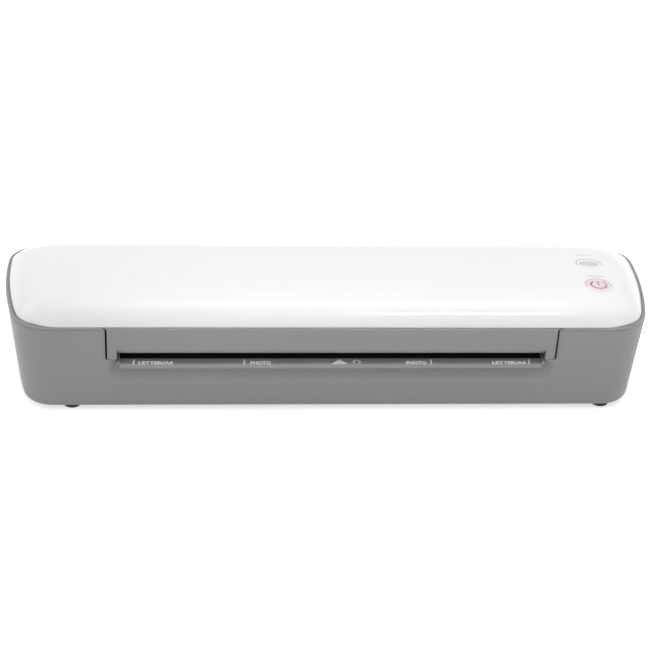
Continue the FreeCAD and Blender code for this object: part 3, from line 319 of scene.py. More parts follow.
def turned(profile, count=48):
    """A profile of (radius, height) points carried round the Z axis: (r cos a, r sin a, z)."""
    profile = np.asarray(profile, float)
    a = np.linspace(0, 2 * np.pi, count + 1)
    return np.stack([profile[:, 0, None] * np.cos(a), profile[:, 0, None] * np.sin(a),
                     profile[:, 1, None] + 0 * a], axis=-1)


def placed(grid, at, up):
    """A grid turned so that +Z lies along up and +Y as far back as it can, moved to a point."""
    up = np.asarray(up, float) / np.linalg.norm(up)
    side = np.cross([0.0, 1.0, 0.0] if abs(up[1]) < 0.9 else [0.0, 0.0, 1.0], up)
    side /= np.linalg.norm(side)
    return np.asarray(at, float) + grid @ np.stack([side, np.cross(up, side), up])


def rounded(points, radius, steps=5):
    """A polyline of (a, b) points whose inner corners are arcs: each corner's two tangent
    points are joined by a circle of the given radius, or it stays sharp where that is 0."""
    points = np.asarray(points, float)
    out = [points[0]]
    for before, here, after, r in zip(points[:-2], points[1:-1], points[2:], radius):
        if r <= 0:
            out.append(here)
            continue
        a, b = before - here, after - here
        a, b = a / np.linalg.norm(a), b / np.linalg.norm(b)
        half = math.acos(np.clip(a @ b, -1, 1)) / 2
        centre = here + (a + b) / np.linalg.norm(a + b) * r / math.sin(half)
        start, end = here + a * r / math.tan(half), here + b * r / math.tan(half)
        t = np.linspace(0, 1, steps + 1)[:, None]
        chord = start * (1 - t) + end * t - centre
        out.extend(centre + chord / np.linalg.norm(chord, axis=1)[:, None] * r)
    out.append(points[-1])
    return np.array(out)


def even(curve, count):
    """Points spaced evenly along a polyline."""
    run = np.r_[0, np.cumsum(np.linalg.norm(np.diff(curve, axis=0), axis=1))]
    want = np.linspace(0, run[-1], count)
    return np.stack([np.interp(want, run, curve[:, k]) for k in range(curve.shape[1])], axis=-1)


def lines(stops, step):
    """Sorted grid lines through all the stops, no further apart than step."""
    stops = sorted(set(np.round(np.asarray(stops, float), 4)))
    parts = [np.linspace(a, b, max(int(math.ceil((b - a) / step)), 1) + 1)[:-1]
             for a, b in zip(stops, stops[1:])]
    return np.r_[np.concatenate(parts), stops[-1]]


def band(path, width, low, high):
    """A flat closed strip along a path of (x, y) points: a rectangle carried along it, drawn to a
    point at both ends. low and high are its heights."""
    path = np.asarray(path, float)
    along = np.gradient(path, axis=0)
    along /= np.linalg.norm(along, axis=1)[:, None]
    side = np.stack([-along[:, 1], along[:, 0]], axis=-1) * width / 2
    corners = [(-1, low), (1, low), (1, high), (-1, high), (-1, low)]
    grid = np.array([np.concatenate([path + s * side, np.full((len(path), 1), h)], axis=1)
                     for s, h in corners])
    cap = grid[:4].mean(axis=0)
    return np.concatenate([np.repeat(cap[None, :1], 5, 0), grid, np.repeat(cap[None, -1:], 5, 0)], axis=1)


def tablet(outline, low, high):
    """A flat closed tile: rings from its middle out to its outline below and back above."""
    outline = np.asarray(outline, float)
    loop = np.concatenate([outline, outline[:1]])
    middle = np.repeat(outline.mean(axis=0)[None], len(loop), 0)
    rings = [(middle, low), (loop, low), (loop, high), (middle, high)]
    return np.array([np.concatenate([ring, np.full((len(loop), 1), h)], axis=1) for ring, h in rings])


def arc(radius, start, end, count=40):
    """Points of a circle about the origin from one angle to another, in degrees."""
    a = np.radians(np.linspace(start, end, count))
    return np.stack([radius * np.cos(a), radius * np.sin(a)], axis=-1)


def hole_patch(loop, at, squeeze, radii, surface):
    """Rings between a hole and a loop of points round it, at the loop's own angles.

    The rings of the given radii come first, each flattened by squeeze along its second axis,
    then rings that spread to the loop. surface gives each point its third coordinate.
    """
    flat = loop[:, :2] - at
    angle = np.arctan2(flat[:, 1] / squeeze, flat[:, 0])
    unit = np.stack([np.cos(angle), np.sin(angle) * squeeze], axis=-1)
    reach = flat[:, 0] * unit[:, 0] + flat[:, 1] * unit[:, 1]
    reach /= unit[:, 0] ** 2 + unit[:, 1] ** 2
    rings = [np.full(len(loop), r) for r in radii]
    rings += [radii[-1] + (reach - radii[-1]) * t for t in (0.25, 0.5, 0.75)]
    grid = [unit * r[:, None] + at for r in rings]
    grid = [np.concatenate([g, surface(g[:, 0], g[:, 1])[:, None]], axis=1) for g in grid]
    return np.array(grid + [loop])


def block_loop(grid, r0, r1, c0, c1):
    """The closed run of a grid's points round a block of its cells."""
    return np.concatenate([grid[r0, c0:c1], grid[r0:r1, c1], grid[r1, c1:c0:-1], grid[r1:r0:-1, c0],
                           grid[r0:r0 + 1, c0]])


# ---- the plan of the casing --------------------------------------------------------------

def corner(inset, front, own=None):
    """Centre and radius of a right-hand corner arc of the plan, drawn in by an inset. own is the
    lid's front edge, where that is another: its inset and its corner's radius."""
    r = (front_corner if front else rear_corner) - inset
    y = -half_d + front_corner if front else half_d - rear_corner
    if front and own:
        r = own[1]
        y = -half_d + own[0] + r
    return bow_x + math.sqrt((bow_r - inset - r) ** 2 - (y - bow_y) ** 2), y, r


def plan_half(y, inset, own=None):
    """Half the plan's width at depths y: two corner arcs and the bowed end between them."""
    y = np.asarray(y, float)
    half = bow_x + np.sqrt((bow_r - inset) ** 2 - (y - bow_y) ** 2)
    for front in (True, False):
        cx, cy, r = corner(inset, front, own)
        join = cy + r * math.sin(math.atan2(cy - bow_y, cx - bow_x))
        here = y <= join if front else y >= join
        half = np.where(here, cx + np.sqrt(np.maximum(r ** 2 - (y - cy) ** 2, 0)), half)
    return half


def plan_right(inset, steps):
    """The right end of the plan from the front to the back, as corner, bow and corner arcs."""
    fx, fy, fr = corner(inset, True)
    rx, ry, rr = corner(inset, False)
    a = math.atan2(fy - bow_y, fx - bow_x)
    b = math.atan2(ry - bow_y, rx - bow_x)
    first = np.linspace(-np.pi / 2, a, steps + 1)[:-1]
    bow = np.linspace(a, b, steps + 1)[:-1]
    last = np.linspace(b, np.pi / 2, steps + 1)
    x = np.r_[fx + fr * np.cos(first), bow_x + (bow_r - inset) * np.cos(bow), rx + rr * np.cos(last)]
    y = np.r_[fy + fr * np.sin(first), bow_y + (bow_r - inset) * np.sin(bow), ry + rr * np.sin(last)]
    return np.stack([x, y], axis=-1)


# ---- lid ---------------------------------------------------------------------------------

def lid_half(y):
    """Half the lid's width at depths y."""
    return plan_half(y, lid_side, (lid_front, lid_corner))


def crown(y):
    """The lid's height over its edge along its middle: rise (1 - share^n)^(1/n), a squared-off
    oval each way from its crest, with a power n for the front and one for the back."""
    y = np.asarray(y, float)
    front = np.clip((crest_y - y) / (crest_y + half_d - lid_front), 0, 1)
    back = np.clip((y - crest_y) / (half_d - lid_side - crest_y), 0, 1)
    return lid_rise * np.where(y < crest_y, (1 - front ** front_power) ** (1 / front_power),
                               (1 - back ** back_power) ** (1 / back_power))


def lid_top(x, y):
    """Height of the lid's outside: the crown, which falls at both ends by 1 - share^n."""
    share = np.clip((np.abs(x) - roll_x) / (lid_half(y) - roll_x), 0, 1)
    return lid_edge + crown(y) * (1 - share ** roll_power)


def lid_rows():
    """Depths of the lid's rows, spaced evenly along the crown's own curve."""
    share = np.sin(np.linspace(np.pi / 2, 0, 600))
    front = crest_y - (crest_y + half_d - lid_front) * share ** (2 / front_power)
    back = crest_y + (half_d - lid_side - crest_y) * share[-2::-1] ** (2 / back_power)
    y = np.r_[front, back]
    return even(np.stack([y, crown(y)], axis=-1), 120)[:, 0]


def lid_end(y, count):
    """One end of the lid, a row of points per depth: x = start + across share and
    z = high (1 - share^n), spaced evenly along each row."""
    share = np.linspace(0, 1, 500)
    out = roll_x + (lid_half(y) - roll_x)[:, None] * share
    up = crown(y)[:, None] * (1 - share ** roll_power)
    rows = np.array([even(np.stack(curve, axis=-1), count) for curve in zip(out, up)])
    return np.stack([rows[..., 0], np.broadcast_to(y[:, None], rows.shape[:2]), lid_edge + rows[..., 1]],
                    axis=-1)


slope = float(lid_top(control_x, power_y + 0.05) - lid_top(control_x, power_y - 0.05)) / 0.1
power_up = np.array([0.0, -slope, 1.0]) / math.hypot(1.0, slope)
power_at = np.array([control_x, power_y, float(lid_top(control_x, power_y))])
ready_at = np.array([control_x, ready_y, float(lid_top(control_x, ready_y))])


def make_lid(material):
    """The crowned lid: a middle of straight rows, two rolled ends, a short upright edge that
    stands on the rim, two holes, and the skirt that locates it inside the rim."""
    y = lid_rows()
    ends = lid_end(y, 64)
    across = np.linspace(-roll_x, roll_x, 61)
    middle = np.stack(np.broadcast_arrays(across[None, :], y[:, None], (lid_edge + crown(y))[:, None]),
                      axis=-1)
    keep = np.ones((len(y) - 1, ends.shape[1] - 1), bool)
    sheets = []
    for at_y, r, squeeze in ((power_y, button_r + seam, power_up[2]), (ready_y, lens_r + 0.1, 1.0)):
        rows = [int(np.argmin(np.abs(y - at_y - d))) for d in (-9.4, 0, 9.4)]
        cols = [int(np.argmin(np.abs(ends[rows[1], :, 0] - control_x - d))) for d in (-10, 10)]
        keep[rows[0]:rows[2], cols[0]:cols[1]] = False
        loop = block_loop(ends, rows[0], rows[2], cols[0], cols[1])
        sheets.append(hole_patch(loop, (control_x, at_y), squeeze,
                                 (r, r + 0.1, r + 0.3, r + 0.8, r + 1.6), lid_top))
    mirror = ends * [-1, 1, 1]
    sheets += [(ends, keep), mirror, middle]
    edge = np.concatenate([middle[0], ends[0, 1:], ends[1:, -1], ends[-1, -2::-1],
                           middle[-1, -2::-1], mirror[-1, 1:], mirror[-2::-1, -1],
                           mirror[0, -2::-1]])
    sheets.append(np.array([edge, edge + [0, 0, lid_seat - lid_edge]]))
    lid = piece("lid_shell", sheets, material, replaces=("lid",), weld=0.02)
    thicken(lid, lid_wall)
    skirt_low, inner = rim_z - skirt_drop, skirt_inset + skirt_thick
    loops = []
    for inset, z in ((skirt_inset, lid_edge), (skirt_inset, skirt_low), (inner, skirt_low),
                     (inner, lid_edge), (skirt_inset, lid_edge)):
        right = plan_right(inset, 12)
        loop = np.concatenate([right, right[::-1] * [-1, 1], right[:1]])
        loops.append(np.concatenate([loop, np.full((len(loop), 1), z)], axis=1))
    piece("lid_skirt", [np.array(loops)], material)


# ---- base --------------------------------------------------------------------------------

def ear(z, gap):
    """How far the fascia's top corners reach out past its sides: a quarter circle upward."""
    rise = np.clip(np.asarray(z, float) - (rim_z - 2.2) + gap, 0, ear_r)
    return ear_r - np.sqrt(ear_r ** 2 - rise ** 2)


def hollow(x, z):
    """Depth of the hollow under the tray: deepest at the slot's lower edge, it falls off as cos^2
    downward and past the slot's ends."""
    off = np.hypot(np.maximum(np.abs(x) - half_slot, 0) / hollow_side, (slot_low - z) / hollow_high)
    return hollow_deep * np.cos(np.clip(off, 0, 1) * np.pi / 2) ** 2


def base_levels():
    """The base's section as (inset, z): a flat rim, a steep bevel with a fine groove under it, a
    wall that leans in on its way down, and an arc that meets both the wall and the floor."""
    rim = [(wall, rim_z), (0.55, rim_z), (0.45, rim_z - 0.1), (0.04, rim_z - 1.2), (0.1, rim_z - 1.45),
           (0.45, rim_z - 1.6), (0.45, rim_z - 1.8)]
    stops = [rim_z - d for d in (2.0, 2.2)] + [
        foot_z - seam, slot_low, slot_low - hollow_high, *duct_z, *vent_z,
        inlet_z - inlet_below, inlet_z + inlet_above, base_z + under_r]
    walls = [(lean * (rim_z - z), z) for z in lines(stops, 1.6)[::-1]]
    tilt = math.atan(lean)
    flat = lean * (rim_z - base_z) + under_r / math.tan((math.pi / 2 + tilt) / 2)
    turn = np.linspace(tilt, np.pi / 2, 8)
    curve = [(flat - under_r * math.cos(t), base_z + under_r - under_r * math.sin(t)) for t in turn]
    return np.array(rim + [p for p in walls if p[1] > curve[0][1] + 0.2] + curve)


def make_base(material):
    """The base's skin: the plan's outline carried down the section's levels.

    Cells in the openings are left out, the hollow pushes the front in, and the flat floor is
    filled in between the lowest loop, the vents and the screw wells.
    """
    levels = base_levels()
    z = levels[:, 1]
    cx, rx = corner(0, True)[0], corner(0, False)[0]
    ends = [s * v for s in (-1, 1) for v in (half_slot, cheek_x + seam, cheek_x + seam + 3)]
    fine = np.arange(112, 126, 1.5)
    front_x = lines(np.r_[ends, -fine, fine, -cx, cx], 4.0)
    vents = sorted(s * at + d for s in (-1, 1) for at in vent_at for d in (-vent_half, vent_half))
    rear_x = lines(vents + [-rx, rx, -duct_x, duct_x, inlet_x - inlet_side, inlet_x + inlet_side],
                   4.0)[::-1]
    loops = []
    for inset, level in levels:
        right = plan_right(inset, 14)[1:-1]
        loop = np.concatenate([
            np.stack([front_x, np.full(len(front_x), -half_d + inset)], axis=-1), right,
            np.stack([rear_x, np.full(len(rear_x), half_d - inset)], axis=-1),
            right[::-1] * [-1, 1]])
        loops.append(np.concatenate([loop, np.full((len(loop), 1), level)], axis=1))
    skin = np.array(loops)
    n_front = len(front_x)
    front = skin[:, :n_front]
    at_seam = np.abs(np.abs(front[..., 0]) - cheek_x - seam) < 0.01
    front[..., 0] += np.where(at_seam, ear(front[..., 2], seam) * np.sign(front[..., 0]), 0)
    front[..., 1] += hollow(front[..., 0], front[..., 2])
    skin = np.concatenate([skin, skin[:, :1]], axis=1)

    rear0 = n_front + len(right)
    mid_z = ((z[:-1] + z[1:]) / 2)[:, None]
    keep = np.ones((len(z) - 1, skin.shape[1] - 1), bool)
    mid_f = np.abs(front_x[:-1] + front_x[1:])[None, :] / 2
    keep[:, :n_front - 1] &= ~((mid_f < cheek_x + seam) & (mid_z > foot_z - seam))
    keep[:, :n_front - 1] &= ~((mid_f < half_slot) & (mid_z > slot_low))
    mid_r = np.abs(rear_x[:-1] + rear_x[1:])[None, :] / 2
    rear = slice(rear0, rear0 + len(rear_x) - 1)
    keep[:, rear] &= ~((mid_r < duct_x) & (mid_z > duct_z[0]) & (mid_z < duct_z[1]))
    in_vent = (np.abs(mid_r[..., None] - vent_at) < vent_half).any(axis=-1)
    keep[:, rear] &= ~(in_vent & (mid_z > vent_z[0]) & (mid_z < vent_z[1]))

    rows = [int(np.argmin(np.abs(z - inlet_z - d))) for d in (inlet_above, -inlet_below)]
    cols = [rear0 + int(np.argmin(np.abs(rear_x - inlet_x - d))) for d in (inlet_side, -inlet_side)]
    keep[rows[0]:rows[1], cols[0]:cols[1]] = False
    loop = block_loop(skin, rows[0], rows[1], cols[0], cols[1])[:, [0, 2, 1]]
    patch = hole_patch(loop, (inlet_x, inlet_z), 1.0, (inlet_r, inlet_r + 0.4),
                       lambda px, pz: half_d - lean * (rim_z - pz))[..., [0, 2, 1]]

    def fill_floor(shape):
        """The floor between the skin's lowest loop, the vents and the screw wells."""
        edges = [e for e in shape.edges if e.is_boundary
                 and all(abs(v.co.z - base_z * MM) < 1e-6 for v in e.verts)]
        y = floor_vent_y
        rings = [[(a, -y), (b, -y), (b, y), (a, y)] for a, b in zip(vents[::2], vents[1::2])]
        rings += [arc(well_r, 0, 345, 24) + place for place in wells]
        for ring in rings:
            made = [shape.verts.new((x * MM, y * MM, base_z * MM)) for x, y in ring]
            edges += [shape.edges.new(pair) for pair in zip(made, made[1:] + made[:1])]
        bmesh.ops.triangle_fill(shape, edges=edges, use_beauty=True)

    skin_piece = piece("base_skin", [(skin, keep), patch], material,
                       replaces=("base_shell",), fill=fill_floor)
    thicken(skin_piece, wall)
    bore_r, post_r, post_top = 1.6, 4.5, 40
    tube = turned([(well_r, well_low), (well_r, well_deep), (bore_r, well_deep), (bore_r, post_top),
                   (post_r, post_top), (post_r, well_low), (well_r, well_low)], 32)
    tubes = [placed(tube, (x, y, 0), (0, 0, 1)) for x, y in wells]
    piece("screw_wells", tubes, material)


# ---- fascia and tray ---------------------------------------------------------------------

def face_y(z):
    """Outside of the front wall at a height."""
    return -half_d + lean * (rim_z - np.asarray(z, float))


def make_fascia(material):
    """The fascia's skin: one section carried along X. Over the mouth it turns in through an arc
    to the lead-in; at each side it goes on down to its foot and turns in there."""
    mouth = rounded([(float(face_y(rim_z - 4)), rim_z - 4), (float(face_y(mouth_z)), mouth_z),
                     (lead_y, lead_z)], [4.5], 10)
    top = rounded([(-half_d + wall, rim_z - 0.1), (-half_d + 0.05, rim_z - 0.35),
                   (float(face_y(rim_z - 4)), rim_z - 4)], [1.0], 5)[:-1]
    stops = [z for z in (rim_z - 1.9, rim_z - 2.2, rim_z - 4, rim_z - 7) if z < top[-1, 1] - 0.1]
    face = np.array([(float(face_y(z)), z) for z in stops + [mouth[1, 1]]])
    upper = np.concatenate([top, face])
    side_x = np.array([half_slot, half_slot + 2, half_slot + 4, cheek_x - cheek_gap])
    xs = np.concatenate([-side_x[::-1], lines([-half_slot, half_slot], 8)[1:-1], side_x])
    sheet = np.array([np.stack([xs, np.full(len(xs), y), np.full(len(xs), z)], axis=-1)
                      for y, z in upper])
    outer = np.abs(sheet[..., 0]) > side_x[-1] - 0.01
    sheet[..., 0] += np.where(outer, ear(sheet[..., 2], 0) * np.sign(sheet[..., 0]), 0)
    sheets = [sheet]
    inner = xs[np.abs(xs) <= half_slot + 0.01]
    sheets.append(np.array([np.stack([inner, np.full(len(inner), y), np.full(len(inner), z)], axis=-1)
                            for y, z in mouth[1:]]))
    low = rounded([(upper[-1, 0], upper[-1, 1]), (float(face_y(foot_z)), foot_z), (lead_y, foot_z)],
                  [0.5], 3)
    curve = even(mouth[1:], 12)
    straight = even(low, 12)
    for s in (-1, 1):
        sheets.append(np.array([np.stack([s * side_x, np.full(4, y), np.full(4, z)], axis=-1)
                                for y, z in straight]))
        sheets.append(np.array([[(s * half_slot, *p) for p in curve],
                                [(s * half_slot, *p) for p in straight]]))
    fascia = piece("fascia", sheets, material, replaces=("front_bezel",), weld=0.01)
    thicken(fascia, fascia_wall)


def tray_top(y):
    """Height of the tray's top at a depth."""
    return shelf_z + shelf_slope * (np.asarray(y, float) - shelf_lip)


def make_tray(material):
    """The tray under the mouth: rings that follow its outline, from its middle line below, up its
    front edge, which leans back between two small roundings, to its middle line above. It stands
    on two legs, and a low cheek closes each end."""
    half_x, r, lean_back = half_slot - 0.15, 3.0, 1.3
    edge = rounded([(3.0, -shelf_thick), (0.0, -shelf_thick), (lean_back, 0.0), (4.0, 0.0)],
                   [0.5, 0.5], 4)
    middle_y = (shelf_lip + shelf_back) / 2
    rings = []
    for inset, drop in edge:
        ring = rounded([(-half_x + inset, shelf_back), (-half_x + inset, shelf_lip + inset),
                        (half_x - inset, shelf_lip + inset), (half_x - inset, shelf_back)],
                       [max(r - inset, 0.3)] * 2, 10)
        ring = np.concatenate([ring, ring[:1]])
        rings.append(np.concatenate([ring, (tray_top(ring[:, 1]) + drop)[:, None]], axis=1))
    for row, drop in ((0, -shelf_thick), (-1, 0.0)):
        flat = np.stack([np.clip(rings[row][:, 0], -half_x + 8, half_x - 8),
                         np.full(len(rings[row]), middle_y),
                         np.full(len(rings[row]), float(tray_top(middle_y)) + drop)], axis=-1)
        rings.insert(0 if row == 0 else len(rings), flat)
    piece("entry_tray", [np.array(rings)], material, replaces=("entry_shelf",),
          smooth=40)
    leg_x, leg_y, leg_top = 100.0, -40.0, float(tray_top(-40)) - 1.5
    foot = np.array([(-3, -1.5), (3, -1.5), (3, 1.5), (-3, 1.5)])
    legs = [tablet(foot + (s * leg_x, leg_y), float(shelf_low[2]), leg_top) for s in (-1, 1)]
    cheeks = [on_tray(band([(s * (half_x - 0.6), back) for back in (1.5, 2.5, 6, 10, 15)],
                           1.2, -0.6, 1.5)) for s in (-1, 1)]
    piece("tray_legs", legs + cheeks, material)


def on_tray(grid):
    """Lays a flat grid of (x, distance back from the lip, height) on the tray's top."""
    out = grid.copy()
    out[..., 1] = shelf_lip + grid[..., 1]
    out[..., 2] = tray_top(out[..., 1]) + grid[..., 2]
    return out


def lettering(name, text, width, at):
    """Block capitals on the tray, about 3 mm high: a font's outline made a thin solid, drawn in to
    a width and set in place. at is their middle and the distance of their feet from the lip."""
    curve = bpy.data.curves.new(name, "FONT")
    curve.body = text
    curve.size = 3.8
    curve.offset = 0.22
    curve.extrude = print_high / 2
    curve.align_x = "CENTER"
    curve.resolution_u = 3
    source = bpy.data.objects.new(name + "_outline", curve)
    bpy.context.collection.objects.link(source)
    solid = source.evaluated_get(bpy.context.evaluated_depsgraph_get())
    mesh = bpy.data.meshes.new_from_object(solid)
    bpy.data.objects.remove(source)
    flat = np.zeros(len(mesh.vertices) * 3)
    mesh.vertices.foreach_get("co", flat)
    flat = flat.reshape(-1, 3)
    flat[:, 0] *= width / np.ptp(flat[:, 0])
    flat += [at[0], at[1], print_high / 2]
    mesh.vertices.foreach_set("co", (on_tray(flat) * MM).ravel())
    shape = bmesh.new()
    shape.from_mesh(mesh)
    bmesh.ops.remove_doubles(shape, verts=shape.verts, dist=1e-7)
    bmesh.ops.recalc_face_normals(shape, faces=shape.faces)
    shape.to_mesh(mesh)
    shape.free()
    mesh.materials.clear()
    mesh.materials.append(white_ink)
    obj = bpy.data.objects.new(name, mesh)
    bpy.context.collection.objects.link(obj)
    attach(obj, "casing")


def make_marks():
    """The print on the tray: paper widths with their ticks, and the way a pouch goes in."""
    for name, text, x, width in (("mark_a4_left", "LETTER/A4", -98.8, 19.3),
                                 ("mark_photo_left", "PHOTO", -40.4, 11.6),
                                 ("mark_photo_right", "PHOTO", 47.2, 11.6),
                                 ("mark_a4_right", "LETTER/A4", 99.8, 19.3)):
        lettering(name, text, width, (x, 1.3))
    tick = np.array([(-0.3, 5.6), (0.7, 5.6), (0.3, 1.0), (-0.7, 1.0)])
    ticks = [on_tray(tablet(tick + (x, 0), 0, print_high)) for x in (-110.8, -49.4, 55.6, 111.4)]
    piece("tick_marks", ticks, white_ink)
    arrow = tablet([(-0.6, 1.4), (8.4, 1.4), (3.9, 5.9)], 0, print_high)
    piece("way_in_arrow", [on_tray(arrow)], white_ink)
    pouch = tablet([(-12.2, 1.6), (-3.4, 1.6), (-0.8, 5.4), (-9.4, 5.4)], 0, print_high)
    piece("pouch_mark", [on_tray(pouch)], grey_ink_and_groove_shade)
    turn = on_tray(band(arc(1.5, -60, 240, 24) * [1.3, 1.0] + (13.6, 3.4), 0.7, 0, print_high))
    piece("side_mark", [turn], white_ink)


# ---- controls ----------------------------------------------------------------------------

def on_lid(grid, at):
    """Lays a flat grid, centred on a point, on the lid: each point rises to the lid's top."""
    out = grid.copy()
    out[..., 0] += at[0]
    out[..., 1] += at[1]
    out[..., 2] += lid_top(out[..., 0], out[..., 1])
    return out


def make_controls():
    """The power cap with its mark, the ready lens, and grey lines round both that paint the shade of
    grooves moulded in the lid. The cap narrows below the lid's surface, so that it clears the hole's
    lower edge when it's pressed."""
    narrow = button_r - 0.25
    cap = rounded([(0, 0.06), (button_r, 0.0), (button_r, -1.2), (narrow, -1.5), (narrow, -2.4),
                   (4.0, -2.4), (4.0, -3.1), (6.0, -3.1), (6.0, -3.8), (2.0, -3.8), (2.0, -3.85),
                   (0, -3.85)],
                  [0.4, 0, 0, 0, 0, 0, 0, 0, 0, 0], 6)
    piece("power_cap", [placed(turned(cap, 64), power_at, power_up)], lamp_painted_pink_acrylic,
          body="power_button", replaces=("power_button",))
    ring_r, stroke, low, high = 4.3, 0.85, 0.0, 0.09
    bar = np.stack([np.zeros(6), np.linspace(-0.8, 4.4, 6)], axis=-1)
    symbol = [band(arc(ring_r, 126, 414, 60), stroke, low, high), band(bar, stroke, low, high)]
    piece("power_symbol", [placed(grid, power_at, power_up) for grid in symbol], mark_ink,
          body="power_button")
    lens_up = np.cross([1, 0, (lid_top(control_x + 1, ready_y) - lid_top(control_x - 1, ready_y)) / 2],
                       [0, 1, (lid_top(control_x, ready_y + 1) - lid_top(control_x, ready_y - 1)) / 2])
    lens = rounded([(0, 0.12), (lens_r, -0.02), (lens_r, -2.0), (0, -2.0)], [0.4, 0], 5)
    piece("ready_light", [placed(turned(lens, 64), ready_at, lens_up)], green_acrylic,
          replaces=("ready_lens",))
    # Painted shade: these grey arcs and lines stand in for the shade in fine grooves moulded round both
    # controls.
    line = np.stack([np.linspace(-5.0, 5.0, 24), np.zeros(24)], axis=-1)
    marks = []
    for at, behind in ((power_at, 10.9), (ready_at, 14.2)):
        marks.append(on_lid(band(arc(7.4, -8, 200, 80), 0.55, -0.02, 0.04), at))
        marks.append(on_lid(band(line + (0, behind), 0.5, -0.02, 0.04), at))
    marks += [on_lid(band(arc(5.0, t - 26, t + 26, 20), 0.6, -0.02, 0.04), ready_at) for t in (0, 180)]
    piece("control_groove_shade", marks, grey_ink_and_groove_shade)


# ---- small parts -------------------------------------------------------------------------

def make_small_parts():
    """Feet, cord bush, rollers, and a thin black sheet that paints the shade in the throat."""
    for name in ("front_left", "front_right", "rear_left", "rear_right"):
        low, high = corners_mm("foot_" + name)
        at = ((low[0] + high[0]) / 2, (low[1] + high[1]) / 2, 0)
        profile = rounded([(0, 0.15), (3.6, 0.15), (3.9, 0), (5, 0), (5, 3), (0, 3)],
                          [0.2, 0.2, 0.8, 0], 4)
        piece("rubber_foot_" + name, [placed(turned(profile), at, (0, 0, 1))], rubber,
              replaces=("foot_" + name,))
    out = np.array([0, 1, -lean]) / math.hypot(1, lean)
    at = (inlet_x, half_d - lean * (rim_z - inlet_z), inlet_z)
    bush = rounded([(3.6, -5.3), (6.4, -5.3), (6.4, -4.0), (8.5, -4.0), (8.5, -2.5), (6.4, -2.5),
                    (6.4, 0), (8.5, 0), (8.5, 1.5), (3.6, 1.5), (3.6, -5.3)],
                   [0, 0, 0.4, 0.4, 0, 0, 0, 0.7, 0.6], 4)
    piece("cord_bush", [placed(turned(bush), at, out)], rubber, replaces=("cord_inlet",))
    for name in ("upper", "lower"):
        low, high = corners_mm(name + "_roller_sleeve")
        r = float(high[2] - low[2]) / 2
        profile = rounded([(4.0, low[0]), (r, low[0]), (r, high[0]), (4.0, high[0]), (4.0, low[0])],
                          [0.5, 0.5, 0], 4)
        at = (0, (low[1] + high[1]) / 2, (low[2] + high[2]) / 2)
        piece(name + "_rubber_roller", [placed(turned(profile, 96), at, (1, 0, 0))], silicone,
              body=name + "_roller", replaces=(name + "_roller_sleeve",))
    # Painted shade: a thin black sheet on the tray inside the mouth, where the throat lies in shade.
    half = half_slot - seam
    shade_sheet = tablet([(-half, 6.6), (half, 6.6), (half, 17.6), (-half, 17.6)], 0.02, 0.3)
    piece("throat_shade_sheet", [on_tray(shade_sheet)], black_pa)


def dress_nodes():
    """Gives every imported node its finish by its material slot."""
    for part in frame["record"]["subparts"]:
        node = frame["nodes"][part["node"]]
        if not node.material_slots:
            node.data.materials.append(None)
        for place in node.material_slots:
            place.material = slot_finish[part["material_slot"]]


# ---- stage -------------------------------------------------------------------------------

def seen_directly(tree):
    """1 for a ray from the camera, a reflection or a clear body, and 0 for one that lights."""
    path = add(tree, "ShaderNodeLightPath")
    mirrored = add(tree, "ShaderNodeMath", {"operation": "MAXIMUM"},
                   {0: path.outputs["Is Camera Ray"], 1: path.outputs["Is Glossy Ray"]})
    return add(tree, "ShaderNodeMath", {"operation": "MAXIMUM"},
               {0: mirrored.outputs[0], 1: path.outputs["Is Transmission Ray"]}).outputs[0]


def make_floor():
    """A plain pale floor that keeps the object's shadow, seen at a near-white level."""
    mesh = bpy.data.meshes.new("floor")
    far = 6.0
    mesh.from_pydata([(-far, -far, 0), (far, -far, 0), (far, far, 0), (-far, far, 0)], [], [(0, 1, 2, 3)])
    material = bpy.data.materials.new("pale_paper_floor")
    material.use_nodes = True
    tree = material.node_tree
    tree.nodes.clear()
    place = add(tree, "ShaderNodeTexCoord").outputs["Object"]
    fibre = add(tree, "ShaderNodeTexNoise", {"Scale": 180.0, "Detail": 2.0}, {"Vector": place})
    shade = add(tree, "ShaderNodeMapRange", {"To Min": 0.68, "To Max": 0.72},
                {"Value": fibre.outputs["Fac"]})
    lit = add(tree, "ShaderNodeBsdfDiffuse", {}, {"Color": shade.outputs["Result"]})
    light = add(tree, "ShaderNodeEmission", {"Color": (1, 1, 1, 1), "Strength": 0.62})
    both = add(tree, "ShaderNodeAddShader", {}, {0: lit.outputs[0], 1: light.outputs[0]})
    mix = add(tree, "ShaderNodeMixShader", {},
              {0: seen_directly(tree), 1: lit.outputs[0], 2: both.outputs[0]})
    add(tree, "ShaderNodeOutputMaterial", {}, {"Surface": mix.outputs[0]})
    mesh.materials.append(material)
    floor = bpy.data.objects.new("floor", mesh)
    bpy.context.collection.objects.link(floor)


def make_world(strength):
    """Even studio light, with a plain white backdrop where the camera or a reflection sees it."""
    world = bpy.data.worlds.new("studio")
    bpy.context.scene.world = world
    world.use_nodes = True
    tree = world.node_tree
    tree.nodes.clear()
    level = add(tree, "ShaderNodeMapRange", {"To Min": strength, "To Max": 1.0},
                {"Value": seen_directly(tree)})
    sky = add(tree, "ShaderNodeBackground", {"Color": (1, 1, 1, 1)}, {"Strength": level.outputs[0]})
    add(tree, "ShaderNodeOutputWorld", {}, {"Surface": sky.outputs[0]})


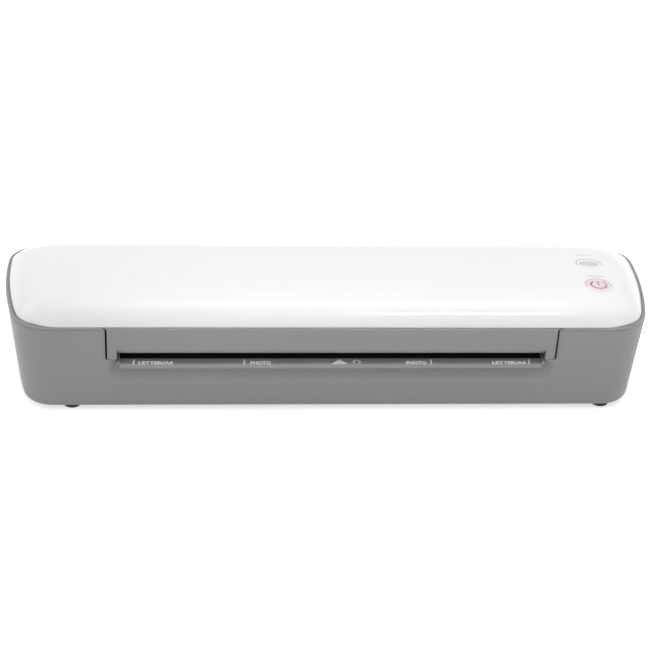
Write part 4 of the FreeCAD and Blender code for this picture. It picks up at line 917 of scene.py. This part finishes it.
def softbox(name, at, aim, size, power):
    """A rectangular studio lamp at a point, turned to another; metres and watts."""
    lamp = bpy.data.lights.new(name, "AREA")
    lamp.shape = "RECTANGLE"
    lamp.size, lamp.size_y = size
    lamp.energy = power
    obj = bpy.data.objects.new(name, lamp)
    bpy.context.collection.objects.link(obj)
    back = np.subtract(at, aim) / np.linalg.norm(np.subtract(at, aim))
    side = np.cross([0, 0, 1], back)
    side = side / np.linalg.norm(side)
    rows = np.stack([side, np.cross(back, side), back], axis=1)
    obj.matrix_world = Matrix([[*rows[k], at[k]] for k in range(3)] + [[0, 0, 0, 1]])
    return lamp


def make_camera():
    """The camera's place, heading, fall and roll, with a long lens."""
    lens = bpy.data.cameras.new("camera")
    lens.sensor_width = 36.0
    lens.lens = 100.24
    lens.clip_start, lens.clip_end = 0.05, 20.0
    camera = bpy.data.objects.new("camera", lens)
    bpy.context.collection.objects.link(camera)
    heading, fall, roll = (math.radians(v) for v in (5.07, 28.05, 2.44))
    forward = np.array([math.sin(heading) * math.cos(fall), math.cos(heading) * math.cos(fall),
                        -math.sin(fall)])
    right = np.array([math.cos(heading), -math.sin(heading), 0.0])
    up = np.cross(right, forward)
    turn_right = right * math.cos(roll) + up * math.sin(roll)
    turn_up = up * math.cos(roll) - right * math.sin(roll)
    at = (-0.0833, -0.9291, 0.5272)
    rows = np.stack([turn_right, turn_up, -forward], axis=1)
    camera.matrix_world = Matrix([[*rows[k], at[k]] for k in range(3)] + [[0, 0, 0, 1]])
    bpy.context.scene.camera = camera


make_camera()
make_floor()
make_world(0.82)
softbox("top", (0.15, -0.22, 1.35), (0.12, -0.02, 0.03), (0.7, 0.7), 2.6)
softbox("key", (0.14, -0.65, 1.25), (0.12, -0.02, 0.03), (0.8, 0.6), 0.5)
softbox("left", (-1.4, 0.25, 0.5), (0, 0, 0.03), (0.7, 0.6), 1.3)
narrow_lamp = softbox("grid", (0.20, -0.85, 0.42), (0.06, -0.05, 0.098), (0.34, 0.03), 0.02)
narrow_lamp.spread = math.radians(9)
bpy.context.scene.view_settings.view_transform = "Standard"

dress_nodes()
# Painted light: a pink glow round the power cap and a pale green glow round the ready lens, mixed into
# the lid's colour.
paint_lamp_glow(white_abs, power_at, (5.0, 10.5), "#f0d6da", 0.75)
paint_lamp_glow(white_abs, ready_at, (4.0, 12.0), "#e6ece4", 0.5)
make_lid(white_abs)
make_base(grey_abs)
make_fascia(grey_abs)
make_tray(grey_abs)
make_marks()
make_controls()
make_small_parts()
